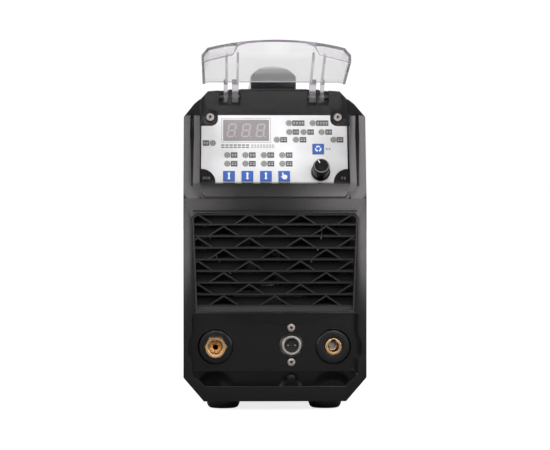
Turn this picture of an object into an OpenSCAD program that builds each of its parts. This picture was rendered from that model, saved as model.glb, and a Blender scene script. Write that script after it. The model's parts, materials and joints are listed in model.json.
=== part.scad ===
// Portable inverter TIG welding machine.
// Millimetres, +Z up, front faces -Y. The origin is under the middle of the whole
// machine, on the floor. Inside the modules y = 0 is the front face of the fascia.

/* [Body] */
// Width of the fascia
body_w = 152; // [148:1:160]
// Length from the fascia front to the back of the rear panel
body_len = 384; // [370:2:420]
// Height of the rubber feet
foot_h = 8; // [6:0.5:12]
// Height of the steel case top above the floor
case_top = 254; // [250:1:256]
// Height of the fascia header above the floor
fascia_top = 270; // [268:1:272]
// Wall of the plastic mouldings
wall = 2.5; // [2:0.1:3]
// Thickness of the steel sheet
sheet = 1.2; // [1:0.1:1.5]

/* [Control bay] */
// Backward lean of the control panel from vertical
panel_tilt = 20; // [18:0.5:22]
// Width of the printed overlay
overlay_w = 123.2; // [118:0.2:124]
// Height of the printed overlay along the slope
overlay_h = 60.9; // [58:0.1:61]
// Side of the square keys
key_side = 9.1; // [8:0.1:10]
// Travel of the keys
key_travel = 0.6; // [0.3:0.1:0.8]
// Largest diameter of the adjusting knob
knob_d = 16; // [14:0.5:17]
// Height of the adjusting knob above the overlay
knob_h = 16.5; // [14:0.5:17]

/* [Cover] */
// Angle of the open cover above the horizontal
cover_open = 24; // [20:1:30]
// Distance from the hinge to the far edge of the cover
cover_reach = 88; // [80:1:88]
// Thickness of the clear cover
cover_t = 2; // [1.6:0.1:2.4]

/* [Sockets] */
// Distance of each round current socket from the middle
socket_x = 49.5; // [48:0.1:50]
// Height of the socket centres above the floor
socket_z = 52; // [51:0.5:53]
// Depth of the connector recess
recess_depth = 25; // [22:1:28]
// Bore of the current socket
earth_bore_d = 9; // [9:0.1:9.2]
// Sideways place of the control socket
control_x = 14.3; // [12:0.1:16]

/* [Handle] */
// Height of the handle top above the floor
handle_top = 295; // [290:1:300]
// Width of the handle
handle_w = 39; // [34:1:42]

/* [Fan] */
// Side of the square fan frame
fan_side = 120; // [120:1:121]
// Height of the fan centre above the floor
fan_z = 150; // [148:1:152]
// Number of fan blades
fan_blades = 9; // [5:1:9]

/* [Hidden] */
$fn = 48;
eps = 0.02;
half_w = body_w / 2;
move_gap = 0.3;                      // clearance between parts that move past each other

// Places along the length
fascia_depth = 52;
rear_y = body_len;                   // back face of the rear panel
rear_wall_y = body_len - 3;          // inner face of the rear panel
rear_reach = 24;                     // how far the gland and inlet stand out behind
hinge_y = 44;
hinge_z = fascia_top - 7;
cover_near_w = -9.8;                 // outer face beside the hinge, across the hinge plane
cover_far_w = -6.5;                  // outer face in the middle of the far edge
cover_corner_w = 14.3;               // lowest corner of the end wall
front_reach = cover_reach * cos(cover_open) + cover_corner_w * sin(cover_open) - hinge_y;
y_mid = (rear_y + rear_reach - front_reach) / 2;

// Control panel plane
panel_y = 14;
panel_z = 190;
ledge_z = 188.7;
bay_half = 62.5;
overlay_t = 0.6;
plate_t = 3;
board_w = -14;                       // back of the display board, along the panel normal
board_t = 1.6;
display_u = -23.7;
display_v = 46.95;
display_size = [38.6, 19.5];
knob_u = 38.5;
knob_v = 8.5;
select_u = 36.9;
select_v = 29.9;
key_us = [-38.2, -22.8, -7.3, 8.0];
key_v = 5.3;
led_places = concat(
    [for (v = [16.6, 24.4], u = [-39.6, -24.3, -8.8, 6.6]) [u, v]],
    [[12.6, 53.6], [32.7, 53.6], [12.8, 45.4], [24.9, 45.4], [40.1, 45.4]],
    [[2.2, 38.4], [18.3, 38.4], [50, 38.4], [-51.8, 35.3]]);
panel_screw_u = 54;
panel_screw_v = 59.2;
led_hole_d = 4.4;
bush_hole_d = 9.4;                   // hole round the encoder's bush

control_z = socket_z + 1.2;
control_screw_dz = 14.5;

// Inside
board_z = 30;
case_half = half_w - wall - 0.1;
pillar_places = [for (x = [-50, 50], y = [72, 286]) [x, y]];
foot_places = [for (x = [-43, 43], y = [35, 362]) [x, y]];
foot_screw_d = 4.2;

// ---------- helpers ----------

module in_frame() { translate([0, -y_mid, 0]) children(); }

// Local X stays, local Y climbs the control panel, local Z leaves it
module on_panel(u = 0, v = 0, w = 0) {
    translate([0, panel_y, panel_z]) rotate([90 - panel_tilt, 0, 0]) translate([u, v, w]) children();
}

// Local X stays, local Y goes up, local Z points to the front, from the plane y
module facing_front(x, y, z) { translate([x, y, z]) rotate([90, 0, 0]) children(); }

// Local X stays, local Y goes up mirrored, local Z points to the back, from the plane y
module facing_back(x, y, z) { translate([x, y, z]) rotate([-90, 0, 0]) children(); }

// A (y, z) outline made into a slab from x0 to x1
module side_slab(x0, x1) { translate([x0, 0, 0]) rotate([90, 0, 90]) linear_extrude(x1 - x0) children(); }

// An (x, z) outline made into a slab from y0 to y1
module front_slab(y0, y1) { translate([0, y1, 0]) rotate([90, 0, 0]) linear_extrude(y1 - y0) children(); }

module both_sides() { children(); mirror([1, 0, 0]) children(); }

function mirrored(right) = concat(right, [for (i = [len(right) - 1:-1:0]) [-right[i][0], right[i][1]]]);

// Socket-head screw along local -Z, its head on top of z = 0
module cap_screw(d, head_d, head_h, len) {
    difference() {
        cylinder(d = head_d, h = head_h);
        translate([0, 0, head_h * 0.4]) cylinder(d = d * 0.8, h = head_h, $fn = 6);
    }
    translate([0, 0, -len]) cylinder(d = d, h = len + eps);
}

// ---------- fascia ----------

// Front outline of the fascia, set in by t all round
function fascia_outline(t) = mirrored([
    [59 - 0.45 * t, foot_h + t], [half_w - t, 27.7 + 0.45 * t], [half_w - t, 244.5 - 0.35 * t],
    [67.5 - 0.85 * t, 256.2 - 0.6 * t], [63 - 0.8 * t, 260.3 - 0.7 * t],
    [56 - 0.4 * t, 268 - t], [30, fascia_top - t]]);

// Side outline of the fascia, its brow swept back
fascia_side = [
    [0, foot_h - 1], [0, 176], [4, 190], [16, 246], [40, 268],
    [46, fascia_top + 1], [fascia_depth + 1, fascia_top + 1], [fascia_depth + 1, foot_h - 1]];

// Place of the panel plane at height z, set back by t
function panel_y_at(z, t = 0) = panel_y + (z - panel_z) * tan(panel_tilt) + t;

recess_half = 68.8;
recess_top = 80.3;
recess_floor = 20.5;
plate_floor = 31.6;
bulge_r = 22.5;

module recess_outline(grow = 0) {
    polygon(mirrored([
        [58 + grow * 0.5, recess_floor - grow], [recess_half + grow, 31 - grow * 0.5],
        [recess_half + grow, recess_top + grow]]));
    for (side = [-1, 1]) translate([side * socket_x, socket_z]) circle(r = bulge_r + grow);
}

grille_low = 82;
grille_high = 163.8;
grille_rows = 8;
bar_low = 86.4;                      // middle of the lowest bar
bar_pitch = 9.72;
grille_half_top = 69;
grille_half_low = 66;
grille_lean = 8;                     // set-back of the grille's lower edge

module grille_outline(grow = 0) {
    polygon(mirrored([
        [grille_half_low + grow, grille_low - grow],
        [grille_half_top + grow, grille_high - 3.5 + grow * 0.4],
        [grille_half_top - 3.5 + grow * 0.4, grille_high + grow]]));
}

// Space in front of the sloping panel, from the ledge up
module bay_space() {
    side_slab(-bay_half, bay_half)
        polygon([[-9, ledge_z], [2, ledge_z], [panel_y, panel_z], [panel_y_at(280), 280], [-9, 280]]);
}

// Everything forward of the panel's moulded plate, hollow behind it
module fascia_hollow() {
    back = fascia_depth + 2;
    intersection() {
        front_slab(wall, back) polygon(fascia_outline(wall));
        union() {
            side_slab(-half_w, half_w) polygon([
                [wall, 0], [wall, 172], [panel_y_at(172, 8), 172], [panel_y_at(184, plate_t + 1), 184],
                [panel_y_at(266, plate_t + 1), 266], [back, 266], [back, 0]]);
            both_sides() side_slab(bay_half + wall, half_w) polygon([
                [wall, 0], [wall, 174], [7, 190], [19, 246], [42, 266], [back, 266], [back, 0]]);
        }
    }
}

module pillar_grooves() {
    groove_lean = 13.4;
    both_sides() translate([69, 2.4, 187]) rotate([-groove_lean, 0, 0]) rotate([0, 0, 45])
        translate([-1.1, -1.1, 0]) cube([2.2, 2.2, 64]);
}

module pad_groove() {
    pad_half = 60.6;
    pad_low = 177.6;
    corner_r = 4;
    groove = 1.75;
    front_slab(-1, 2) difference() {
        translate([-pad_half - groove, pad_low - groove]) square([2 * (pad_half + groove), 20]);
        translate([-pad_half, pad_low + corner_r]) square([2 * pad_half, 20]);
        translate([corner_r - pad_half, pad_low]) square([2 * (pad_half - corner_r), 20]);
        for (side = [-1, 1])
            translate([side * (pad_half - corner_r), pad_low + corner_r]) circle(r = corner_r);
    }
}

// Shallow line across the face above the grille
module face_line() { front_slab(-1, 0.4) translate([-68, 165.3]) square([136, 0.7]); }

module key_holes() {
    side = key_side + 2 * move_gap;
    for (u = key_us) translate([u - side / 2, key_v - side / 2]) square(side);
    translate([select_u - side / 2, select_v - side / 2]) square(side);
}

// Two slots on each side, for the two arms beside a knuckle
module header_slots() {
    slot_back = hinge_y + 5.3;
    both_sides() for (x = [28.4, 38.6]) translate([x, slot_back - 20, hinge_z - 7.4]) cube([7.9, 20, 20]);
}

hinge_pin_d = 3;

module foot_screw_holes() {
    for (p = foot_places) translate([p[0], p[1], 0]) cylinder(d = foot_screw_d, h = 20);
}

module front_fascia() {
    color([0.08, 0.08, 0.09]) in_frame() difference() {
        union() {
            difference() {
                intersection() {
                    front_slab(0, fascia_depth) polygon(fascia_outline(0));
                    side_slab(-half_w, half_w) polygon(fascia_side);
                }
                fascia_hollow();
            }
            // duct walls behind the connector recess
            intersection() {
                front_slab(1, recess_depth) recess_outline(wall);
                front_slab(0, recess_depth) polygon(fascia_outline(0));
            }
            // slot housings for the cover arms
            both_sides() translate([26, 40, hinge_z - 8.6]) cube([23, 11.5, 13]);
        }
        bay_space();
        pillar_grooves();
        pad_groove();
        face_line();
        // connector recess, its floor rising to the plate
        difference() {
            front_slab(-1, recess_depth + 1) recess_outline();
            side_slab(-half_w, half_w) polygon([
                [0, recess_floor], [recess_depth + 2, plate_floor + 0.8], [recess_depth + 2, 10], [0, 10]]);
        }
        // grille opening
        front_slab(-1, 16) grille_outline();
        // openings of the sloping plate
        on_panel(0, 0, -12) linear_extrude(12.5) key_holes();
        on_panel(display_u, display_v, -12) translate([-19, -9.5, 0]) cube([38, 19, 13]);
        for (p = led_places) on_panel(p[0], p[1], -12) cylinder(d = led_hole_d, h = 13);
        on_panel(knob_u, knob_v, -12) cylinder(d = bush_hole_d, h = 13);
        both_sides() on_panel(panel_screw_u, panel_screw_v, -2) cylinder(d = 13, h = 3);
        both_sides() on_panel(panel_screw_u, panel_screw_v, -9) cylinder(d = 3.2, h = 9);
        on_panel(0, 0, -overlay_t) linear_extrude(overlay_t + 0.1) overlay_outline();
        // cover arm slots and hinge pin holes
        header_slots();
        foot_screw_holes();
        both_sides() translate([26.4, hinge_y, hinge_z]) rotate([0, 90, 0])
            cylinder(d = hinge_pin_d, h = 22.2);
    }
}

// ---------- grille ----------

strut_pitch = 42.6;
strut_half_base = 11.5;

// Places of the strut peaks in one row, shifted by half a pitch on every other row
function peaks(row) = [for (i = [-2:2]) (i + (row % 2) / 2) * strut_pitch];

// Peaked strut pair in one row
module strut(peak, low) {
    strut_t = 1.7;
    top = low + bar_pitch - 0.5;
    for (leg = [-1, 1]) polygon([
        [peak, top], [peak, top - strut_t],
        [peak + leg * strut_half_base, low + 0.2], [peak + leg * (strut_half_base + 2.2), low + 0.2]]);
}

// Flat grille before it is leaned back: bars, struts and rising slats between the peaks
module upright_grille() {
    slat_back = 9;
    for (row = [0:grille_rows - 1]) {
        low = bar_low + row * bar_pitch;
        side_slab(-70, 70) polygon([[0, low - 0.7], [0, low + 0.7], [3.2, low + 0.7], [3.2, low - 0.7]]);
        front_slab(0, 3) for (peak = peaks(row)) strut(peak, low);
        difference() {
            side_slab(-70, 70) polygon([
                [2, low - 0.7], [2, low + 0.7], [slat_back, low + 6.6], [slat_back, low + 5]]);
            for (peak = peaks(row)) front_slab(3, 10) polygon([
                [peak, low + bar_pitch - 1], [peak - strut_half_base, low + 0.71],
                [peak + strut_half_base, low + 0.71]]);
        }
    }
    side_slab(-70, 70) polygon([
        [0, grille_high - 0.9], [0, grille_high + 0.6], [slat_back, grille_high + 0.6],
        [slat_back, grille_high - 0.9]]);
}

module front_grille() {
    lean = atan(grille_lean / (grille_high - grille_low));
    duct_top = recess_top + wall + move_gap;
    color([0.07, 0.07, 0.08]) in_frame() {
        intersection() {
            front_slab(-1, 20) grille_outline(-0.15);
            union() {
                translate([0, 0, grille_high]) rotate([lean, 0, 0]) translate([0, 0, -grille_high])
                    upright_grille();
                // sill below the lowest bar
                side_slab(-70, 70) polygon([
                    [5, grille_low], [7.4, bar_low - 0.2], [10, bar_low - 0.2], [10, grille_low]]);
            }
        }
        // rim clipped behind the opening, clear of the recess duct
        difference() {
            front_slab(wall + 0.1, wall + 2) intersection() {
                grille_outline(3);
                translate([-80, duct_top]) square([160, 100]);
            }
            front_slab(0, 20) grille_outline(-0.15);
        }
        // side and upper walls from the rim in to the leaned bars
        intersection() {
            front_slab(0.3, 16) difference() {
                grille_outline(-0.15);
                grille_outline(-1.6);
                translate([-60, grille_low - 1]) square([120, 4]);
            }
            side_slab(-80, 80) polygon([[0, 80], [0, 170], [12, 170], [16, 80]]);
        }
    }
}

module connector_plate() {
    plate_y = recess_depth;
    color([0.11, 0.11, 0.11]) in_frame() difference() {
        front_slab(plate_y, plate_y + 2) intersection() {
            recess_outline(wall);
            polygon(fascia_outline(wall + 0.4));
        }
        for (side = [-1, 1]) facing_front(side * socket_x, plate_y + 3, socket_z) cylinder(d = 20.2, h = 5);
        facing_front(control_x, plate_y + 3, control_z) cylinder(d = 16.2, h = 5);
        for (dz = [-control_screw_dz, control_screw_dz])
            facing_front(control_x, plate_y + 3, control_z + dz) cylinder(d = 3, h = 5);
    }
}

// ---------- control panel ----------

module overlay_outline(inset = 0) {
    ear_u = 47.6;
    ear_v = 51;
    corner_r = 12;
    difference() {
        translate([-overlay_w / 2 + inset, inset]) square([overlay_w - 2 * inset, overlay_h - 2 * inset]);
        for (side = [-1, 1]) {
            translate([side * overlay_w / 2, 0]) circle(r = corner_r + inset);
            translate([side * (ear_u + 6), ear_v + 6]) circle(r = 6 + inset);
            translate([side > 0 ? ear_u + 6 : -ear_u - 26, ear_v - inset]) square([20, 20]);
            translate([side > 0 ? ear_u - inset : -ear_u - 26 + inset, ear_v + 6]) square([26, 20]);
        }
    }
}

module control_overlay() {
    color([0.9, 0.91, 0.93]) in_frame() on_panel(0, 0, -overlay_t) difference() {
        linear_extrude(overlay_t) difference() {
            overlay_outline(0.1);
            key_holes();
            translate([display_u, display_v] - display_size / 2) square(display_size);
        }
        for (p = led_places) translate([p[0], p[1], -1]) cylinder(d = led_hole_d, h = 3);
        translate([knob_u, knob_v, -1]) cylinder(d = bush_hole_d, h = 3);
    }
}

module display_window() {
    color([0.5, 0.47, 0.5, 0.8]) in_frame() on_panel(display_u, display_v, 0) {
        translate([-display_size[0] / 2 + 0.1, -display_size[1] / 2 + 0.1, -overlay_t])
            cube([display_size[0] - 0.2, display_size[1] - 0.2, overlay_t - 0.05]);
        translate([-18.9, -9.4, -2.1]) cube([37.8, 18.8, 1.6]);
    }
}

module led_display() {
    color([0.45, 0.42, 0.44]) in_frame() on_panel(display_u, display_v, board_w + board_t)
        translate([-18.8, -9.3, 0]) cube([37.6, 18.6, 10.2]);
}

module display_board() {
    color([0.05, 0.25, 0.12]) in_frame() difference() {
        on_panel(0, 0, board_w) translate([-56, -0.5, 0]) cube([112, 58, board_t]);
        on_panel(knob_u, knob_v, board_w - 1) cylinder(d = 3, h = 5);
    }
}

module indicator_leds() {
    color([0.75, 0.8, 0.72]) in_frame() for (p = led_places)
        on_panel(p[0], p[1], board_w + board_t) cylinder(d = 3.9, h = -board_w - board_t - 0.1, $fn = 24);
}

module tact_switches() {
    key_places = concat([for (u = key_us) [u, key_v]], [[select_u, select_v]]);
    color([0.15, 0.15, 0.16]) in_frame() for (p = key_places)
        on_panel(p[0], p[1], board_w + board_t) {
            translate([-3, -3, 0]) cube([6, 6, 3]);
            cylinder(d = 3, h = 3.4);
        }
}

// One key: cap through the overlay, flange behind the plate, stem down to its switch
module key_cap(u, v) {
    stem_low = board_w + board_t + 3.4 + key_travel + move_gap;
    flange_w = -overlay_t - plate_t - 0.4;
    in_frame() on_panel(u, v) {
        translate([-key_side / 2, -key_side / 2, flange_w - 0.5])
            cube([key_side, key_side, 0.9 - flange_w + 0.5]);
        translate([-5.6, -key_side / 2, flange_w - 1]) cube([11.2, key_side, 1]);
        translate([0, 0, stem_low]) cylinder(d = 4, h = flange_w - stem_low);
    }
}

module key_current() { color([0.15, 0.33, 0.72]) key_cap(key_us[0], key_v); }
module key_time() { color([0.15, 0.33, 0.72]) key_cap(key_us[1], key_v); }
module key_gas() { color([0.15, 0.33, 0.72]) key_cap(key_us[2], key_v); }
module key_mode() { color([0.15, 0.33, 0.72]) key_cap(key_us[3], key_v); }
module key_select() { color([0.15, 0.33, 0.72]) key_cap(select_u, select_v); }

encoder_shaft_d = 6;
shaft_play = 0.05;

module encoder_body() {
    color([0.6, 0.6, 0.62]) in_frame() on_panel(knob_u, knob_v, board_w + board_t) difference() {
        union() {
            translate([-6.2, -6, 0]) cube([12.4, 12, 6.4]);
            cylinder(d = 9, h = -board_w - board_t + 0.2);
        }
        translate([0, 0, 2]) cylinder(d = encoder_shaft_d + 2 * shaft_play, h = 30);
    }
}

module encoder_shaft() {
    color([0.7, 0.7, 0.72]) in_frame() on_panel(knob_u, knob_v, board_w + board_t + 2.3)
        cylinder(d = encoder_shaft_d, h = 23);
}

module adjust_knob() {
    color([0.05, 0.05, 0.055]) in_frame() on_panel(knob_u, knob_v, 0.8) difference() {
        union() {
            rotate_extrude() polygon([
                [0, 0], [knob_d / 2, 0], [knob_d / 2, 2.6], [knob_d / 2 - 0.9, 3.6], [6.5, 12.6],
                [6.5, knob_h - 1.4], [5.9, knob_h - 0.8], [0, knob_h - 0.8]]);
            for (a = [0:15:359]) rotate(a) translate([6.55, 0, 4.4]) cylinder(d = 0.9, h = 9.6, $fn = 16);
        }
        translate([0, 0, -1]) cylinder(d = encoder_shaft_d, h = 13.5);
        translate([0, 0, -1]) cylinder(d = 10, h = 2.4);
    }
}

module panel_screws() {
    color([0.75, 0.73, 0.7]) in_frame() both_sides() on_panel(panel_screw_u, panel_screw_v, -2)
        cap_screw(3, 6.8, 1.9, 9);
}

// ---------- cover ----------

// Local X stays, local Y runs from the hinge to the far edge, local Z points to the controls
module on_cover() { translate([0, hinge_y, hinge_z]) rotate([180 - cover_open, 0, 0]) children(); }

cover_half = 60.5;
cover_flat_half = 55.5;
crown_r = 206;
cover_steps = 6;
cover_near_r = 12;

// Outer face of the cover across the far edge, which is crowned, then turned down at the corners
function far_w(x) = abs(x) > cover_flat_half + 0.1 ? 7.8
    : cover_far_w + crown_r - sqrt(crown_r * crown_r - x * x);
cover_xs = concat([-cover_half], [for (i = [-cover_steps:cover_steps]) i * cover_flat_half / cover_steps],
    [cover_half]);
near_w_edge = cover_near_w + 1.5;
function near_w(x) = abs(x) > cover_flat_half + 0.1 ? near_w_edge : cover_near_w;

// Skin ruled from the straight hinge side to the crowned far edge
module cover_skin() {
    n = len(cover_xs);
    near = [for (x = cover_xs) [x, cover_near_r, near_w(x)]];
    far = [for (x = cover_xs) [x, cover_reach, far_w(x)]];
    low = [for (p = concat(near, far)) p + [0, 0, cover_t]];
    points = concat(near, far, low);
    faces = concat(
        [for (i = [0:n - 2]) each [[i, i + 1, n + i], [i + 1, n + i + 1, n + i]]],
        [for (i = [0:n - 2]) each [
            [2 * n + i, 3 * n + i, 2 * n + i + 1], [2 * n + i + 1, 3 * n + i, 3 * n + i + 1]]],
        [for (i = [0:n - 2]) each [
            [i, 2 * n + i, i + 1], [i + 1, 2 * n + i, 2 * n + i + 1],
            [n + i, n + i + 1, 3 * n + i], [n + i + 1, 3 * n + i + 1, 3 * n + i]]],
        [[0, n, 2 * n], [n, 3 * n, 2 * n], [n - 1, 3 * n - 1, 2 * n - 1], [2 * n - 1, 3 * n - 1, 4 * n - 1]]);
    polyhedron(points, faces);
}

// Arm round the hinge pin that runs on as a thin rib under the skin
module cover_arm(x0, x1) {
    rib_end = 72;
    rib_t = 2;
    arm_end = 18;
    skin_slope = (far_w(x1) - cover_near_w) / (cover_reach - cover_near_r);
    skin_end_w = cover_near_w + skin_slope * (rib_end - cover_near_r);
    translate([x0, 0, 0]) rotate([90, 0, 90]) {
        linear_extrude(x1 - x0) {
            circle(r = 4.5);
            polygon([[-1.6, -4.2], [4.4, -0.9], [14, -2.5], [arm_end, -2.2],
                [arm_end, cover_near_w + 1], [cover_near_r, cover_near_w + 1]]);
        }
        linear_extrude(rib_t) polygon([[arm_end - 1, -2.3], [rib_end - 6, 1], [rib_end, -1.5],
            [rib_end, skin_end_w + 1], [arm_end - 1, cover_near_w + 1]]);
    }
}

module flip_cover() {
    arm_bore = hinge_pin_d + 2 * shaft_play;
    cut_half = 30.5;
    cut_low_half = 39.1;
    wall_slope = 0.283;                  // rise of the end wall's lower edge towards the middle
    color([0.86, 0.82, 0.9, 0.4]) in_frame() on_cover() difference() {
        union() {
            cover_skin();
            // end wall hanging from the crowned edge, open in the middle
            translate([0, cover_reach, 0]) rotate([90, 0, 0]) linear_extrude(cover_t) difference() {
                polygon(concat(
                    [for (x = cover_xs) [x, far_w(x) + 0.2]],
                    [[cover_half, cover_corner_w], [20, cover_corner_w - (cover_half - 20) * wall_slope],
                        [-20, cover_corner_w - (cover_half - 20) * wall_slope],
                        [-cover_half, cover_corner_w]]));
                polygon([[-cut_half, -6], [cut_half, -6], [cut_low_half, 14], [-cut_low_half, 14]]);
            }
            // side walls
            both_sides() translate([cover_half - cover_t, 0, 0]) rotate([90, 0, 90]) linear_extrude(cover_t)
                polygon([[cover_near_r, near_w_edge + 0.2], [cover_near_r, near_w_edge + 2.2],
                    [cover_reach, cover_corner_w], [cover_reach, 7.9]]);
            both_sides() cover_arm(30, 35.6);
            both_sides() cover_arm(39.2, 42.6);
        }
        translate([-60, 0, 0]) rotate([0, 90, 0]) cylinder(d = arm_bore, h = 120);
    }
}

module hinge_pins() {
    color([0.75, 0.75, 0.76]) in_frame() both_sides() translate([26.6, hinge_y, hinge_z])
        rotate([0, 90, 0]) cylinder(d = hinge_pin_d, h = 21.8);
}

// ---------- connectors ----------

flange_front = recess_depth - 5;

flange_r = 14.9;
socket_d = 14;

// Moulded collar round a current socket, with its neck through the plate
module socket_flange(x) {
    in_frame() difference() {
        facing_front(x, recess_depth, socket_z) {
            rotate_extrude() polygon([[0, 0], [flange_r, 0], [flange_r, 3.6], [flange_r - 1.2, 5], [0, 5]]);
            translate([0, 0, -12]) cylinder(d = 20, h = 12.1);
        }
        facing_front(x, recess_depth + 20, socket_z) cylinder(d = socket_d, h = 40);
    }
}

module torch_flange() { color([0.06, 0.07, 0.08]) socket_flange(-socket_x); }

// Nut that clamps a current socket from behind
module socket_nut() { translate([0, 0, -25]) cylinder(d = 19.6 / cos(30), h = 6, $fn = 6); }

module torch_socket() {
    hex_af = 17;
    color([0.8, 0.58, 0.32]) in_frame() difference() {
        facing_front(-socket_x, flange_front, socket_z) {
            intersection() {
                cylinder(d = hex_af / cos(30), h = 10, $fn = 6);
                rotate_extrude() polygon([[0, 0], [10, 0], [10, 8], [7.6, 10], [0, 10]]);
            }
            translate([0, 0, -34]) cylinder(d = socket_d, h = 34.1);
            socket_nut();
            translate([0, 0, -46]) cylinder(d = 7, h = 12.1);
        }
        facing_front(-socket_x, flange_front + 50, socket_z) cylinder(d = 4.5, h = 70);
        facing_front(-socket_x, flange_front - 10, socket_z) translate([0, 0, -3.6])
            cylinder(d1 = 4.5, d2 = 13, h = 3.62);
    }
}

module earth_flange() { color([0.06, 0.07, 0.08]) socket_flange(socket_x); }

earth_depth = 24;

module earth_socket() {
    color([0.82, 0.62, 0.3]) in_frame() difference() {
        facing_front(socket_x, flange_front, socket_z) {
            translate([0, 0, -31]) cylinder(d = socket_d, h = 32.4);
            socket_nut();
        }
        facing_front(socket_x, flange_front - 2, socket_z) translate([0, 0, -earth_depth])
            cylinder(d = earth_bore_d, h = earth_depth + 1);
        facing_front(socket_x, flange_front + 40, socket_z) cylinder(d = 6, h = 39);
        // key slot of the bayonet plug
        translate([socket_x - 1.5, flange_front - 2, socket_z]) cube([3, 12, 6]);
    }
}

module socket_bolt() {
    color([0.72, 0.72, 0.74]) in_frame() facing_front(socket_x, flange_front + 31, socket_z) {
        cylinder(d = 6, h = 9);
        translate([0, 0, -4]) cylinder(d = 6, h = 4.02);
        translate([0, 0, -8]) cylinder(d = 11.5, h = 4.02, $fn = 6);
    }
}

module control_socket_shell() {
    color([0.74, 0.72, 0.7]) in_frame() difference() {
        facing_front(control_x, recess_depth, control_z) {
            rotate_extrude() polygon([[0, 0], [10, 0], [10, 1.2], [8.7, 2.2], [8.7, 7.4], [8, 8], [0, 8]]);
            translate([0, 0, -12]) cylinder(d = 16, h = 12.1);
        }
        facing_front(control_x, recess_depth + 20, control_z) cylinder(d = 12.2, h = 40);
    }
}

module control_socket_insert() {
    color([0.06, 0.06, 0.06]) in_frame() difference() {
        facing_front(control_x, recess_depth + 11, control_z) cylinder(d = 12.2, h = 13);
        for (dx = [-3, 3])
            facing_front(control_x + dx, recess_depth + 12, control_z) cylinder(d = 1.8, h = 20);
        facing_front(control_x, recess_depth, control_z) translate([-1, 4.6, -4]) cube([2, 2, 8]);
    }
}

module control_socket_pins() {
    color([0.85, 0.75, 0.5]) in_frame() for (dx = [-3, 3])
        facing_front(control_x + dx, recess_depth + 16, control_z) {
            cylinder(d = 1.8, h = 21.5);
            translate([0, 0, 21.5]) sphere(d = 1.8, $fn = 24);
        }
}

module control_socket_screws() {
    color([0.7, 0.65, 0.63]) in_frame() for (dz = [-control_screw_dz, control_screw_dz])
        facing_front(control_x, recess_depth, control_z + dz) cap_screw(3, 6.6, 1.8, 9);
}

// ---------- case ----------

// Section of the steel cover, set in by t
function case_outline(t) = mirrored([
    [56.5 - 0.45 * t, foot_h + wall + 0.1 + t], [case_half - t, 30.2 + 0.4 * t],
    [case_half - t, 232 - 0.4 * t], [54 - 0.4 * t, case_top - t]]);
cover_low_z = 28;
case_front_y = fascia_depth - 9;       // clear of the back of the sloping plate
tray_flange_z = 52;
case_screw_ys = [90, 200, 310];
case_screw_z = 44;
handle_bolt_ys = [82, 312];
tray_floor_z = foot_h + wall + 0.1 + sheet;

// Section of the base tray, which stands inside the cover
function tray_outline(t) = mirrored([
    [55.4 - 0.45 * t, tray_floor_z - sheet + t], [case_half - sheet - t, 31.2 + 0.4 * t],
    [case_half - sheet - t, tray_flange_z + t]]);

module base_tray() {
    color([0.1, 0.1, 0.11]) in_frame() difference() {
        front_slab(recess_depth + 3, rear_wall_y) difference() {
            polygon(tray_outline(0));
            polygon(tray_outline(sheet));
            translate([-case_half, tray_flange_z - eps]) square([2 * case_half, 10]);
        }
        foot_screw_holes();
        both_sides() for (y = case_screw_ys) translate([case_half - 6, y, case_screw_z]) rotate([0, 90, 0])
            cylinder(d = 4, h = 10);
    }
}

vent_slots = 7;
vent_pitch = 9;

module top_cover() {
    color([0.13, 0.13, 0.14]) in_frame() difference() {
        front_slab(case_front_y, rear_y - 10) difference() {
            polygon(case_outline(0));
            polygon(case_outline(sheet));
            translate([-case_half - 1, 0]) square([2 * case_half + 2, cover_low_z]);
        }
        // side louvres in two groups
        for (y0 = [90, 262], i = [0:vent_slots - 1])
            translate([-100, y0 + i * vent_pitch, 98]) cube([200, 4, 90]);
        // holes of the handle bolts
        for (y = handle_bolt_ys) translate([0, y, case_top - 4]) cylinder(d = 6.4, h = 8);
        both_sides() for (y = case_screw_ys) translate([case_half - 6, y, case_screw_z]) rotate([0, 90, 0])
            cylinder(d = 4, h = 10);
    }
}

module case_screws() {
    color([0.7, 0.7, 0.72]) in_frame() both_sides() for (y = case_screw_ys)
        translate([case_half, y, case_screw_z]) rotate([0, 90, 0]) cap_screw(4, 7.6, 2.2, 5);
}

module handle() {
    front_y = 60;
    back_y = rear_y - rear_depth - 5;
    grip_t = 16;
    crown = 12;
    crown_big_r = (handle_w * handle_w / 4 + crown * crown) / (2 * crown);
    color([0.07, 0.07, 0.08]) in_frame() difference() {
        intersection() {
            side_slab(-handle_w / 2, handle_w / 2) difference() {
                polygon([
                    [front_y, case_top], [front_y, 281], [front_y + 6, 285.5], [front_y + 22, 291],
                    [front_y + 48, handle_top], [back_y - 48, handle_top], [back_y - 22, 291],
                    [back_y - 6, 285.5], [back_y, 281], [back_y, case_top]]);
                polygon([
                    [front_y + 38, case_top - 1], [front_y + 42, case_top + 8],
                    [front_y + 50, case_top + 18], [front_y + 66, handle_top - grip_t],
                    [back_y - 66, handle_top - grip_t], [back_y - 50, case_top + 18],
                    [back_y - 42, case_top + 8], [back_y - 38, case_top - 1]]);
            }
            front_slab(front_y - 1, back_y + 1) union() {
                translate([-handle_w / 2, case_top]) square([handle_w, handle_top - crown - case_top]);
                intersection() {
                    translate([0, handle_top - crown_big_r]) circle(r = crown_big_r, $fn = 96);
                    translate([-handle_w / 2, handle_top - crown - 1]) square([handle_w, crown + 2]);
                }
            }
        }
        for (y = handle_bolt_ys) translate([0, y, case_top - 1]) cylinder(d = 6, h = 22);
    }
}

module handle_screws() {
    color([0.7, 0.7, 0.72]) in_frame() for (y = handle_bolt_ys) translate([0, y, case_top - sheet]) {
        translate([0, 0, -1]) cylinder(d = 6, h = 21);
        translate([0, 0, -4]) cylinder(d = 11.5, h = 4, $fn = 6);
    }
}

foot_d = 27.7;

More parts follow.
